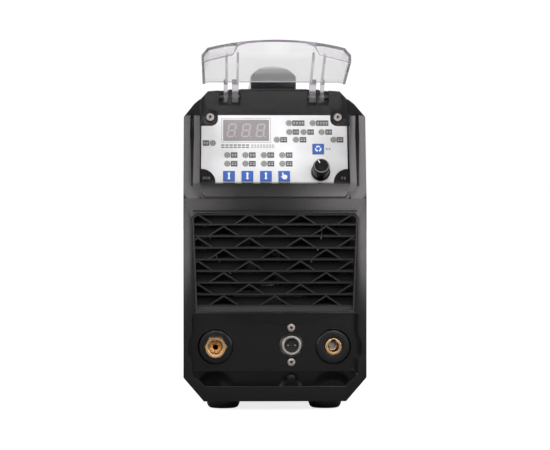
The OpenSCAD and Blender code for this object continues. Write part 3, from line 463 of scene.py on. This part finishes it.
def clear_plastic():
    """Thin clear sheet with a faint purple body."""
    clear = (1.0, 0.988, 0.998)
    material = shader("clear_cover", clear, 0.03, Transmission_Weight=1.0, IOR=1.24, Alpha=0.7)
    add_bump(material, noise(material, 40, 1), 0.02, 0.0004)
    absorb = add_node(material, "ShaderNodeVolumeAbsorption", Density=2.5)
    absorb.inputs["Color"].default_value = (0.52, 0.45, 0.60, 1)
    output = material.node_tree.nodes["Material Output"]
    link(material, absorb.outputs["Volume"], output.inputs["Volume"])
    return material


def cut_edge():
    """Sawn edge of the clear sheet, where the purple tint shows."""
    material = shader("cover_edge", (0.33, 0.28, 0.36), 0.25, Transmission_Weight=0.45, IOR=1.3)
    vary(material, "Base Color", noise(material, 80, 2), (0.27, 0.22, 0.30), (0.40, 0.35, 0.43))
    add_bump(material, noise(material, 300, 2), 0.1, 0.0002)
    return material


def highlit_arm_plastic():
    """The cover's clear plastic where it is thick, made partly white so that the arms show light grey in the dark
    slots: painted highlight.
    """
    # the whitish base colour is a painted highlight on the arms
    material = shader("cover_arm", (0.88, 0.86, 0.90), 0.12, Transmission_Weight=0.8, IOR=1.4, Alpha=0.85)
    vary(material, "Roughness", noise(material, 150, 2), 0.08, 0.16)
    add_bump(material, noise(material, 60, 2), 0.1, 0.0004)
    return material


def make_cover():
    """Crowned sheet with turned-down sides and an end wall that leaves a finger opening."""
    # half widths of the whole cover and of its crown
    half, flat = 60.5, 55.5
    # w of the turned-down side's upper corner and lower edge, and how far they drop at the near end
    corner_w, low_w = 7.8, 14.3
    near_corner, near_low = 1.5, 3.7
    thickness = 2.0
    steps, rows = 9, 20
    # the end wall reaches in from each side to this step of the crown, with a sloping lower edge
    cut_step, cut_low_x, wall_slope = 5, 35.0, 0.283

    def height(x, kind, t):
        near = COVER_NEAR_W + {"low": near_low, "corner": near_corner, "skin": 0}[kind]
        far = {"low": low_w, "corner": corner_w, "skin": crown(x)}[kind]
        return near + (far - near) * t

    stations = [(-half, "low"), (-half, "corner")]
    stations += [(flat * i / steps, "skin") for i in range(-steps, steps + 1)]
    stations += [(half, "corner"), (half, "low")]
    bm = bmesh.new()
    grid = []
    for row in range(rows + 1):
        t = row / rows
        r = COVER_NEAR + (COVER_REACH - COVER_NEAR) * t
        grid.append([bm.verts.new(cover(x, r, height(x, kind, t))) for x, kind in stations])
    for near, far in zip(grid, grid[1:]):
        for i in range(len(stations) - 1):
            bm.faces.new((near[i], near[i + 1], far[i + 1], far[i]))
    far_row = grid[-1]
    # two stations of the turned-down side come before the skin's own
    middle = 2 + steps
    for side in (-1, 1):
        top = [far_row[middle + side * i] for i in range(cut_step, steps + 3)]
        under = [(x, low_w - (half - x) * wall_slope) for x in (flat, (flat + cut_low_x) / 2, cut_low_x)]
        bm.faces.new(top + [bm.verts.new(cover(side * x, COVER_REACH, w)) for x, w in under])
    bmesh.ops.recalc_face_normals(bm, faces=bm.faces)
    # the wall grows inwards, so the middle of the sheet has to face up
    centre_faces = [face for face in bm.faces if abs(face.calc_center_median().x) < 20 * MM]
    if sum((face.normal for face in centre_faces), Vector()).z < 0:
        bmesh.ops.reverse_faces(bm, faces=bm.faces)
    mesh = bpy.data.meshes.new("clear_cover")
    bm.to_mesh(mesh)
    bm.free()
    skin = piece("clear_cover", mesh, clear_plastic(), "cover", "clear_cover")
    skin.data.materials.append(cut_edge())
    wall = skin.modifiers.new("wall", "SOLIDIFY")
    wall.thickness = thickness * MM
    wall.offset = -1
    wall.use_even_offset = True
    wall.material_offset_rim = 1
    apply_modifiers(skin)
    bevel(skin, 0.3, 1, 35)
    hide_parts("flip_cover")


def make_cover_arms():
    """Hooked arms on the hinge pins, two a side, each with a rib along the sheet's inner face."""
    arm_end, rib_end, rib_t, eye_r = 18.0, 72.0, 2.0, 4.5
    # the arm's round end over the pin
    eye = [(eye_r * math.cos(a), eye_r * math.sin(a)) for a in map(math.radians, range(230, -1, -15))]

    def place(r, w, x):
        return cover(x, r, w)

    def sheet_w(x, r):
        """w inside the sheet's wall, where arms and ribs end."""
        climb = (crown(x) - COVER_NEAR_W) * max(0, r - COVER_NEAR)
        return COVER_NEAR_W + 1.6 + climb / (COVER_REACH - COVER_NEAR)

    bm = bmesh.new()
    for side in (-1, 1):
        for x0, x1 in ((30, 35.6), (39.2, 42.6)):
            arm = [(4.4, -0.9), (9, -2.9), (14, -3.2), (arm_end - 1.5, -3.4), (arm_end, -4.6),
                   (arm_end, sheet_w(x0, arm_end)), (COVER_NEAR, sheet_w(x0, 0)), (-1.6, -4.2)] + eye
            rib = [(arm_end - 1, -3.0), (rib_end - 14, 0.4), (rib_end - 6, 0.8), (rib_end - 2, -0.1),
                   (rib_end, -1.9), (rib_end, sheet_w(x0, rib_end)),
                   (arm_end - 1, sheet_w(x0, arm_end - 1))]
            add_prism(bm, arm, side * x0, side * x1, place)
            add_prism(bm, rib, side * (x0 + 0.05), side * (x0 + rib_t), place)
    arms = piece("cover_arms", to_mesh("cover_arms", bm), highlit_arm_plastic(), "cover", "clear_cover")
    bevel(arms, 0.3, 2, 35)


make_cover()
make_cover_arms()


# ---------- prints, lamps and icons of the control panel ----------

# underside and top of a print over the surface it lies on
PRINT_LOW, PRINT_HIGH = 0.004, 0.045


def on_face(w0=0.0):
    """Place function of the panel, for outlines in (u, v) and a depth above w0."""
    return lambda u, v, w: panel(u, v, w0 + w)


def printed(name, outlines, material, w0=0.0, slot="overlay_print", body=MACHINE, rings=()):
    """Thin print: outlines are lists of (u, v), rings are (u, v, inner, outer)."""
    bm = bmesh.new()
    for outline in outlines:
        add_prism(bm, outline, PRINT_LOW, PRINT_HIGH, on_face(w0))
    for u, v, inner, outer in rings:
        add_ring(bm, u, v, inner, outer, PRINT_LOW, PRINT_HIGH, on_face(w0), 32)
    return piece(name, to_mesh(name, bm), material, body, slot)


PRINT_DARK = moulded("print_dark", (0.085, 0.085, 0.092), 0.4, 1800, 0.05, 0.04)
PRINT_PALE = moulded("print_pale", (0.62, 0.63, 0.65), 0.4, 1800, 0.05, 0.04)
PRINT_SOFT = moulded("print_soft", (0.33, 0.335, 0.34), 0.4, 1800, 0.05, 0.04)
RING_GREY = moulded("lamp_ring", (0.115, 0.118, 0.115), 0.35, 1800, 0.05, 0.04)
HALO = moulded("lamp_halo", (0.52, 0.525, 0.515), 0.4, 1800, 0.05, 0.04)
ICON_WHITE = moulded("icon_white", (0.9, 0.92, 0.95), 0.35, 1800, 0.05, 0.04)
DIGIT = moulded("digit_segment", (0.46, 0.43, 0.43), 0.35, 1800, 0.05, 0.04)

LOWER_LAMPS = [(u, v) for v in (24.4, 16.6) for u in (-39.6, -24.3, -8.8, 6.6)]
# lamp at (u, v), left and right edge of its label, number of signs on the label
UPPER_LABELS = [
    (12.6, 53.6, 15.3, 25.7, 4), (32.7, 53.6, 35.5, 45.9, 4), (12.8, 45.4, 15.6, 20.9, 2),
    (24.9, 45.4, 28.0, 33.5, 2), (40.1, 45.4, 43.2, 48.8, 2), (2.2, 38.4, 5.0, 10.8, 2),
    (18.3, 38.4, 21.4, 27.0, 2), (50.0, 38.4, 52.6, 58.3, 2), (-51.8, 35.3, -60.2, -54.8, 2)]
LABELS = [(u, v, u + 2.9, u + 8.5, 2) for u, v in LOWER_LAMPS] + UPPER_LABELS
LABEL_HEIGHT = 5.0


def print_labels():
    """Plain boxes beside the lamps, with two short bars where each sign would be, and the lamps' rings."""
    margin, bar_share, bar_height, bar_rise = 0.45, 0.7, 0.58, 0.72
    boxes, strokes = [], []
    for u, v, left, right, marks in LABELS:
        boxes.append(rectangle((left + right) / 2, v, right - left, LABEL_HEIGHT))
        room = (right - left - 2 * margin) / marks
        for i in range(marks):
            middle = left + margin + room * (i + 0.5)
            for rise in (bar_rise, -bar_rise):
                strokes.append(rectangle(middle, v + rise, room * bar_share, bar_height))
    printed("label_boxes", boxes, PRINT_DARK)
    printed("label_strokes", strokes, PRINT_PALE, PRINT_HIGH)
    lamps = [(u, v) for u, v, *_ in LABELS]
    # inner and outer radius: the lamps keep their holes open inside the pale halo
    halo, ring, dot = (2.2, 2.95), (1.72, 2.24), (0.25, 0.72)
    bm = bmesh.new()
    for u, v in lamps:
        add_ring(bm, u, v, *halo, PRINT_LOW, PRINT_HIGH * 0.6, on_face(), 28)
    piece("lamp_halos", to_mesh("lamp_halos", bm), HALO, MACHINE, "overlay_print")
    printed("lamp_rings", [], RING_GREY, 0.02, rings=[(*lamp, *ring) for lamp in lamps])
    printed("lamp_dots", [], RING_GREY, -0.1, "lamp_lens", rings=[(*lamp, *dot) for lamp in lamps])


def print_marks():
    """Plain dashes in the places of lettering, and the line round the display."""
    dashes = [rectangle(-43.3 + 3.45 * i, v, 2.7, 1.0) for i in range(7) for v in (31.5, 33.5)]
    fine = [rectangle(-18.6 + 2.5 * i, v, 1.9, 0.6) for i in range(8) for v in (33.6, 32.5, 31.2)]
    printed("title_dashes", dashes, PRINT_DARK)
    printed("title_fine_dashes", fine, PRINT_SOFT)
    select = [rectangle(u, v, 1.5, 0.5) for u in (44.1, 46.4) for v in (30.5, 29.5)]
    printed("select_marks", select, PRINT_DARK)
    half_u, half_v, line = 20.6, 11.0, 0.35
    middle_u, middle_v = -23.7, 46.95
    frame_lines = [rectangle(middle_u, middle_v + side * half_v, 2 * half_u, line) for side in (-1, 1)]
    frame_lines += [rectangle(middle_u + side * half_u, middle_v, line, 2 * half_v) for side in (-1, 1)]
    printed("display_frame_line", frame_lines, PRINT_SOFT)
    # small marks on the moulded corners below the overlay
    corner = [rectangle(u, v, 1.6, 0.45) for u in (-59.2, -57.0, -54.8, 56.5, 58.7) for v in (3.0, 4.4)]
    printed("corner_dashes", corner, PRINT_SOFT, 0.0, "black_abs")


def print_digits():
    """Unlit segments and points of a three-digit module, leaning to the right."""
    height, width, bar, slant, gap = 12.6, 7.4, 1.45, 0.16, 0.16
    digit_v = 46.9
    half_h, half_w, half_bar = height / 2, width / 2, bar / 2
    end = half_w - bar - gap
    outlines = []

    def add(u, points):
        outlines.append([(u + a + b * slant, digit_v + b) for a, b in points])

    for u in (-35.9, -23.7, -11.5):
        for level in (half_h - half_bar, 0.0, half_bar - half_h):
            add(u, [(-end - half_bar, level), (-end, level - half_bar), (end, level - half_bar),
                    (end + half_bar, level), (end, level + half_bar), (-end, level + half_bar)])
        for side in (-1, 1):
            a = side * (half_w - half_bar)
            for low, high in ((0, half_h - half_bar), (half_bar - half_h, 0)):
                foot, head = low + gap + half_bar, high - gap - half_bar
                add(u, [(a, low + gap), (a + half_bar, foot), (a + half_bar, head),
                        (a, high - gap), (a - half_bar, head), (a - half_bar, foot)])
        add(u, circle(0.62, 12, half_w + 1.0, 0.7 - half_h))
    printed("digit_segments", outlines, DIGIT, -0.05, "display_tint")


# height of the keys' tops over the overlay, and the middle of the lower row of keys
KEY_FACE, KEY_V = 0.9, 5.3
# outline of a pointing hand, round its middle
HAND = [(-1.6, 3.1), (-0.7, 3.1), (-0.6, 0.9), (0.2, 1.4), (0.6, 0.8), (1.3, 1.1), (1.7, 0.5), (2.5, 0.5),
        (2.6, -1.2), (1.7, -3.0), (-0.7, -3.0), (-2.6, -0.7), (-2.2, -0.1), (-1.5, -0.6)]


def arrow_bar(u, v):
    """Upright bar with an arrow head at both ends."""
    half_bar, half_head, neck, tip = 0.72, 1.5, 2.1, 3.3
    return [(u - half_head, v - neck), (u, v - tip), (u + half_head, v - neck), (u + half_bar, v - neck),
            (u + half_bar, v + neck), (u + half_head, v + neck), (u, v + tip), (u - half_head, v + neck),
            (u - half_bar, v + neck), (u - half_bar, v - neck)]


def turning_arrows(u, v):
    """Three arcs round a circle, each with an arrow head."""
    inner, middle, outer, head = 1.55, 2.15, 2.75, 0.55

    def polar(r, angle):
        return u + r * math.cos(angle), v + r * math.sin(angle)

    arcs = []
    for turn in (90, 210, 330):
        angles = [math.radians(turn - 42 + 14 * i) for i in range(6)]
        tip = math.radians(turn + 58)
        arc = [polar(outer, angle) for angle in angles]
        arc += [polar(outer + head, angles[-1]), polar(middle, tip), polar(inner - head, angles[-1])]
        arc += [polar(inner, angle) for angle in reversed(angles)]
        arcs.append(arc)
    return arcs


def print_icons():
    """Generic white signs on the keys."""
    keys = (("current_icon", -38.2, "current_key"), ("time_icon", -22.8, "time_key"),
            ("gas_icon", -7.3, "gas_key"))
    for name, u, body in keys:
        printed(name, [arrow_bar(u, KEY_V)], ICON_WHITE, KEY_FACE, "blue_key", body)
    hand = [(8.0 + a, KEY_V + b) for a, b in HAND]
    printed("mode_icon", [hand], ICON_WHITE, KEY_FACE, "blue_key", "mode_key")
    printed("select_icon", turning_arrows(36.9, 29.9), ICON_WHITE, KEY_FACE, "blue_key", "select_key")


KNOB_TOP = 16.5


def knob_place(a, b, w):
    """Place function round the knob's axis."""
    return panel(KNOB_U + a, KNOB_V + b, w)


def dress_knob():
    """Glossy cap, bright ring and pointer on the knob's top."""
    gloss = moulded("knob_gloss", (0.006, 0.006, 0.0065), 0.16, 2600, 0.04, 0.03)
    rim = moulded("knob_rim", (0.30, 0.30, 0.31), 0.25, 2600, 0.05, 0.03)
    bm = bmesh.new()
    add_turned(bm, [(0, KNOB_TOP - 0.3), (5.7, KNOB_TOP - 0.3), (5.7, KNOB_TOP), (5.2, KNOB_TOP + 0.14),
                    (3.0, KNOB_TOP + 0.06), (0, KNOB_TOP + 0.02)], knob_place, 64)
    cap = piece("knob_cap", to_mesh("knob_cap", bm), gloss, "knob", "knob_black")
    smooth(cap)
    bm = bmesh.new()
    add_turned(bm, [(5.7, KNOB_TOP - 0.4), (6.2, KNOB_TOP - 0.4), (6.2, KNOB_TOP), (6.0, KNOB_TOP + 0.15),
                    (5.8, KNOB_TOP + 0.1), (5.7, KNOB_TOP - 0.1), (5.7, KNOB_TOP - 0.4)], knob_place, 64)
    ring = piece("knob_bright_ring", to_mesh("knob_bright_ring", bm), rim, "knob", "knob_black")
    smooth(ring)
    bm = bmesh.new()
    turn = math.radians(118)
    along, across = (math.cos(turn), math.sin(turn)), (-math.sin(turn), math.cos(turn))
    pointer = [(a * along[0] + b * across[0], a * along[1] + b * across[1])
               for a, b in ((2.8, -0.4), (5.5, -0.4), (5.5, 0.4), (2.8, 0.4))]
    add_prism(bm, pointer, KNOB_TOP - 0.1, KNOB_TOP + 0.18, knob_place)
    piece("knob_pointer", to_mesh("knob_pointer", bm), ICON_WHITE, "knob", "knob_black")


print_labels()
print_marks()
print_digits()
print_icons()
dress_knob()


# ---------- torch connector, and painted shade in the socket's bore and the screw recesses ---

def add_ringed(bm, rings, place, steps=72):
    """Closed skin through rings of (radius, depth), each a number or a function of the angle."""
    loops = []
    for radius, depth in rings:
        loop = []
        for k in range(steps):
            angle = 2 * math.pi * k / steps
            r = radius(angle) if callable(radius) else radius
            d = depth(angle) if callable(depth) else depth
            loop.append(bm.verts.new(place(r * math.cos(angle), r * math.sin(angle), d)))
        loops.append(loop)
    for near, far in zip(loops, loops[1:] + loops[:1]):
        join_loops(bm, near, far)


def hex_radius(across_flats):
    """Radius of a hexagon at an angle."""
    return lambda angle: across_flats / 2 / math.cos((angle % (math.pi / 3)) - math.pi / 6)


def make_torch_connector():
    """Brass hexagon with a chamfered face and a wide funnel into the gas bore."""
    low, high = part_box("torch_socket")
    middle_x, face_y, middle_z = face_middle(low, high)
    length = (high.y - low.y) / MM
    hexagon, nut = hex_radius(17), hex_radius(19.6)
    face_r, funnel_r, bore_r, stem_r, barb_r = 8.35, 6.4, 2.25, 7, 3.5

    def place(a, b, d):
        return at(middle_x + a, face_y - d, middle_z + b)

    def chamfer(angle):
        return -(hexagon(angle) - face_r) * 0.62 - 0.05

    bm = bmesh.new()
    add_ringed(bm, [
        (hexagon, -10), (hexagon, chamfer), (face_r, 0), (funnel_r, 0), (funnel_r - 0.5, -0.15),
        (bore_r + 0.5, -3.3), (bore_r, -3.6), (bore_r, -10)], place)
    add_ringed(bm, [(stem_r, -9.9), (bore_r, -9.9), (bore_r, -44), (stem_r, -44)], place)
    add_ringed(bm, [(nut, -35), (nut, -29), (stem_r, -29), (stem_r, -35)], place)
    add_ringed(bm, [(barb_r, -43), (bore_r, -43), (bore_r, -length), (barb_r, -length)], place)
    connector = piece("torch_connector", to_mesh("torch_connector", bm), MATERIALS["brass"], MACHINE, "brass")
    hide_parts("torch_socket")
    smooth(connector, 32)


def make_recess_shade():
    """Dark hexagons at the bottom of the sockets in the heads of the screws on the front: painted shade."""
    # dark metal colour standing in for the shade at the bottom of each socket: painted shade
    dark = metal("socket_shadow", (0.035, 0.032, 0.03), 0.5)
    hexagon = circle(1.16, 6)
    overlay_screw_u, overlay_screw_v, head_r = 54, 59.2, 3.3
    bm = bmesh.new()
    for side in (-1, 1):
        add_prism(bm, hexagon, 0.75, 1.05,
                  lambda a, b, d: panel(side * overlay_screw_u + a, overlay_screw_v + b, d))
    low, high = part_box("control_socket_screws")
    screw_x, face_y, _ = face_middle(low, high)
    for screw_z in (low.z / MM + head_r, high.z / MM - head_r):
        add_prism(bm, hexagon, 0.5, 0.9, lambda a, b, d: at(screw_x + a, face_y + d, screw_z + b))
    piece("screw_recess_shade", to_mesh("screw_recess_shade", bm), dark, MACHINE, "screw_steel")


def make_bore_shade():
    """Dark skin on the wall of the current socket's bore, painted shade where the bore's wall lies in shadow."""
    middle_x, face_y, middle_z = face_middle(*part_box("earth_socket"))
    bore_r, lining_r, bore_depth = 4.52, 4.3, 22
    # dark metal colour standing in for the shade inside the bore: painted shade
    dark = metal("painted_bore_shade", (0.10, 0.065, 0.035), 0.5)

    def place(a, b, d):
        return at(middle_x + a, face_y - d, middle_z + b)

    bm = bmesh.new()
    skin = [(bore_r, -0.9), (lining_r, -1.1), (lining_r, -bore_depth), (bore_r, -bore_depth)]
    add_ringed(bm, skin, place, 48)
    lining = piece("bore_shade_lining", to_mesh("bore_shade_lining", bm), dark, MACHINE, "brass")
    smooth(lining)


make_torch_connector()
make_bore_shade()
make_recess_shade()


# ---------- fan, guard and switch at the back ----------

FAN_X, GUARD_Y, FAN_Z = face_middle(*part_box("fan_guard"))


def rear_place(depth_y):
    """Place function round the fan's axis: a to the right seen from the front, b up, depth to the back."""
    return lambda a, b, d: at(FAN_X + a, depth_y + d, FAN_Z + b)


def add_blade(bm, turn, pitch, place):
    """Curved, twisted blade of even thickness. turn is its angle, pitch the angle from blade to blade."""
    root_r, tip_r, thick = 18.4, 57.0, 1.3
    rows, columns = 8, 8
    faces = []
    for offset in (0.0, -thick):
        grid = []
        for row in range(rows + 1):
            share = row / rows
            r = root_r + (tip_r - root_r) * share
            sweep = 0.30 * share
            chord = pitch * (1.06 - 0.02 * share)
            line = []
            for column in range(columns + 1):
                along = column / columns
                angle = turn + sweep + chord * (along - 0.5)
                depth = -2.2 - 12.6 * along + 2.0 * math.sin(math.pi * along) + offset
                line.append(bm.verts.new(place(r * math.cos(angle), r * math.sin(angle), depth)))
            grid.append(line)
        faces.append(grid)
    top, low = faces
    for row in range(rows):
        for column in range(columns):
            corners = [(row, column), (row, column + 1), (row + 1, column + 1), (row + 1, column)]
            bm.faces.new([top[r][c] for r, c in corners])
            bm.faces.new([low[r][c] for r, c in (corners[0], corners[3], corners[2], corners[1])])
    rim = [(r, 0) for r in range(rows + 1)] + [(rows, c) for c in range(1, columns + 1)]
    rim += [(r, columns) for r in range(rows - 1, -1, -1)] + [(0, c) for c in range(columns - 1, 0, -1)]
    for (r0, c0), (r1, c1) in zip(rim, rim[1:] + rim[:1]):
        bm.faces.new((top[r0][c0], top[r1][c1], low[r1][c1], low[r0][c0]))


def make_rotor():
    """Hub with nine blades that nearly close the ring seen from the back, and a plain label."""
    blades = 9
    place = rear_place((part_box("fan_rotor")[1].y - FRONT_Y) / MM)
    hub = [(0, 0), (17.2, 0), (18.9, -0.6), (19.5, -2.2), (19.5, -17), (17, -17), (17, -15), (0, -15)]
    bm = bmesh.new()
    add_turned(bm, hub, place, 64)
    for blade in range(blades):
        add_blade(bm, 2 * math.pi * blade / blades, 2 * math.pi / blades, place)
    rotor = piece("fan_blades", to_mesh("fan_blades", bm), MATERIALS["fan_plastic"], "fan", "fan_plastic")
    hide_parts("fan_rotor")
    smooth(rotor, 40)
    grey = moulded("label_grey", (0.42, 0.43, 0.45), 0.35)
    bm = bmesh.new()
    add_ring(bm, 0, 0, 5.5, 13.5, 0.01, 0.12, place, 64)
    label = piece("hub_label", to_mesh("hub_label", bm), grey, "fan", "fan_plastic")
    smooth(label)


def add_tube(bm, points, radius, closed=False, steps=10):
    """Round wire along points, swept without twist."""
    count = len(points)
    loops = []
    for i, point in enumerate(points):
        ahead = points[(i + 1) % count] if closed or i < count - 1 else point
        behind = points[i - 1] if closed or i > 0 else point
        along = (ahead - behind).normalized()
        side = along.cross(Vector((0, 1, 0))).normalized()
        up = side.cross(along)
        loops.append([bm.verts.new(point + radius * (side * a + up * b)) for a, b in circle(1, steps)])
    for near, far in zip(loops, loops[1:]):
        join_loops(bm, near, far)
    if closed:
        join_loops(bm, loops[-1], loops[0])
        return
    bm.faces.new(list(reversed(loops[0])))
    bm.faces.new(loops[-1])


def make_guard():
    """Finger guard of round wire on four legs, in place of the CAD's flat one."""
    wire, eye_r = 0.9, 4.4
    screw_r = 52.5 * 2 ** 0.5
    place = rear_place(GUARD_Y)
    bm = bmesh.new()
    for k in range(6):
        hoop = [place(a, b, wire * 1.02) for a, b in circle(10 + 9.6 * k, 72)]
        add_tube(bm, hoop, wire * MM, True)
    for turn in (45, 135, 225, 315):
        along_a, along_b = math.cos(math.radians(turn)), math.sin(math.radians(turn))
        leg = [place(r * along_a, r * along_b, wire) for r in (9, 20, 32, 44, 56, 66, screw_r - 4.6)]
        add_tube(bm, leg, wire * MM * 0.98)
        eye = [place(a, b, wire) for a, b in circle(eye_r, 28, screw_r * along_a, screw_r * along_b)]
        add_tube(bm, eye, wire * MM * 0.97, True)
    guard = piece("wire_guard", to_mesh("wire_guard", bm), MATERIALS["guard_paint"], MACHINE, "guard_paint")
    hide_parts("fan_guard")
    smooth(guard, 50)


def mark_rocker():
    """Plain bar and ring, the usual on and off signs, on the rocker's two faces."""
    pivot = Vector(JOINTS["power_switch"]["pos_m"])
    rest = math.radians(8)
    out = Vector((0, math.cos(rest), -math.sin(rest)))
    up = Vector((0, math.sin(rest), math.cos(rest)))

    def face(low_end):
        # the two halves of the rocker meet in a shallow valley at its middle
        start, end = (4.2, 0.0), (6.2, 9.0 if low_end > 0 else -9.0)
        along = Vector((end[0] - start[0], end[1] - start[1])).normalized()
        normal = Vector((along.y, -along.x)) if low_end > 0 else Vector((-along.y, along.x))
        middle = ((start[0] + end[0]) / 2, (start[1] + end[1]) / 2)

        def place(a, b, d):
            y = middle[0] + along.x * b * low_end + normal.x * d
            z = middle[1] + along.y * b * low_end + normal.y * d
            return pivot + Vector((a * MM, 0, 0)) + out * y * MM + up * z * MM
        return place

    white = moulded("rocker_mark", (0.8, 0.8, 0.78), 0.35)
    bm = bmesh.new()
    add_prism(bm, rectangle(0, 0, 1.1, 5.0), -0.1, 0.1, face(1))
    add_ring(bm, 0, 0, 1.7, 2.6, -0.1, 0.1, face(-1), 32)
    piece("rocker_marks", to_mesh("rocker_marks", bm), white, "rocker", "rocker_red")


make_rotor()
make_guard()
mark_rocker()


# ---------- floor and light ----------

def make_floor():
    """Wide white table, white to the eye but dim in reflections, as if the room before it were unlit."""
    size = 60.0
    bm = bmesh.new()
    corners = [(-size, -size), (size, -size), (size, size), (-size, size)]
    bm.faces.new([bm.verts.new((x, y, 0)) for x, y in corners])
    mesh = bpy.data.meshes.new("floor")
    bm.to_mesh(mesh)
    bm.free()
    floor = bpy.data.objects.new("floor", mesh)
    bpy.context.scene.collection.objects.link(floor)
    white = shader("floor", (0.9, 0.9, 0.9), 0.85, Specular_IOR_Level=0.1, Emission_Color=(1, 1, 1, 1))
    bsdf = white.node_tree.nodes["Principled BSDF"]
    path = add_node(white, "ShaderNodeLightPath")
    glow = add_node(white, "ShaderNodeMapRange")
    set_range(glow, 0, 1, 0, 0.8)
    link(white, path.outputs["Is Camera Ray"], glow.inputs["Value"])
    link(white, glow.outputs["Result"], bsdf.inputs["Emission Strength"])
    dim = add_node(white, "ShaderNodeMapRange")
    set_range(dim, 0, 1, 0.9, 0.22)
    link(white, path.outputs["Is Glossy Ray"], dim.inputs["Value"])
    link(white, dim.outputs["Result"], bsdf.inputs["Base Color"])
    floor.data.materials.append(white)


def softbox(name, place, aim, width, height, watts, color=(1, 1, 1)):
    """Rectangular lamp at a place, turned towards a point, sizes in metres."""
    data = bpy.data.lights.new(name, "AREA")
    data.shape = "RECTANGLE"
    data.size, data.size_y = width, height
    data.energy = watts
    data.color = color
    light = bpy.data.objects.new(name, data)
    bpy.context.scene.collection.objects.link(light)
    light.location = place
    light.rotation_euler = (aim - place).to_track_quat("-Z", "Y").to_euler()


def make_world():
    """White backdrop behind the machine and a dim room in front. Seen directly it is white all round."""
    world = bpy.data.worlds.new("studio")
    bpy.context.scene.world = world
    world.use_nodes = True
    background = world.node_tree.nodes["Background"]
    background.inputs["Color"].default_value = (1, 1, 1, 1)
    place = add_node(world, "ShaderNodeTexCoord")
    split = add_node(world, "ShaderNodeSeparateXYZ")
    room = add_node(world, "ShaderNodeMapRange")
    set_range(room, 0.12, 0.6, 0.18, 1.0)
    link(world, place.outputs["Generated"], split.inputs["Vector"])
    link(world, split.outputs["Y"], room.inputs["Value"])
    path = add_node(world, "ShaderNodeLightPath")
    # through the clear cover it is as white as seen directly, unless mirrored on the way
    mirrored = add_node(world, "ShaderNodeMapRange")
    set_range(mirrored, 0, 1, 1.0, 0.4)
    through = add_node(world, "ShaderNodeMath", operation="MULTIPLY")
    link(world, path.outputs["Glossy Depth"], mirrored.inputs["Value"])
    link(world, path.outputs["Is Transmission Ray"], through.inputs[0])
    link(world, mirrored.outputs["Result"], through.inputs[1])
    seen = add_node(world, "ShaderNodeMath", operation="MAXIMUM")
    link(world, path.outputs["Is Camera Ray"], seen.inputs[0])
    link(world, through.outputs["Value"], seen.inputs[1])
    strength = add_node(world, "ShaderNodeMapRange")
    strength.inputs["To Max"].default_value = 1.02
    link(world, seen.outputs["Value"], strength.inputs["Value"])
    link(world, room.outputs["Result"], strength.inputs["To Min"])
    link(world, strength.outputs["Result"], background.inputs["Strength"])


def make_lights():
    """Upright boxes beside the camera shade the flat faces, wide ones further out light the rest."""
    warm = (1.0, 0.955, 0.945)
    ahead = Vector((0, 1, 0))
    box_x, box_y, box_width, offset = 240, -1650, 0.3, 30
    for name, side, glow in (("left", -1, 13.5), ("right", 1, 18.5)):
        for part, low, high, share in (("low", 105, 310, 0.8), ("high", 480, 1300, 0.95)):
            place = at(offset + side * box_x, box_y, (low + high) / 2)
            tall = (high - low) / 1000
            watts = glow * share * box_width * tall
            softbox(f"{name}_{part}_box", place, place + ahead, box_width, tall, watts, warm)
        softbox(name + "_fill", at(side * 1400, -1150, 800), at(0, 0, 150), 1.0, 1.2, 10.2)
    softbox("top_box", at(0, -900, 1700), at(0, 100, 150), 1.0, 0.8, 3)


make_floor()
make_world()
make_lights()
bpy.context.scene.view_settings.view_transform = "Standard"
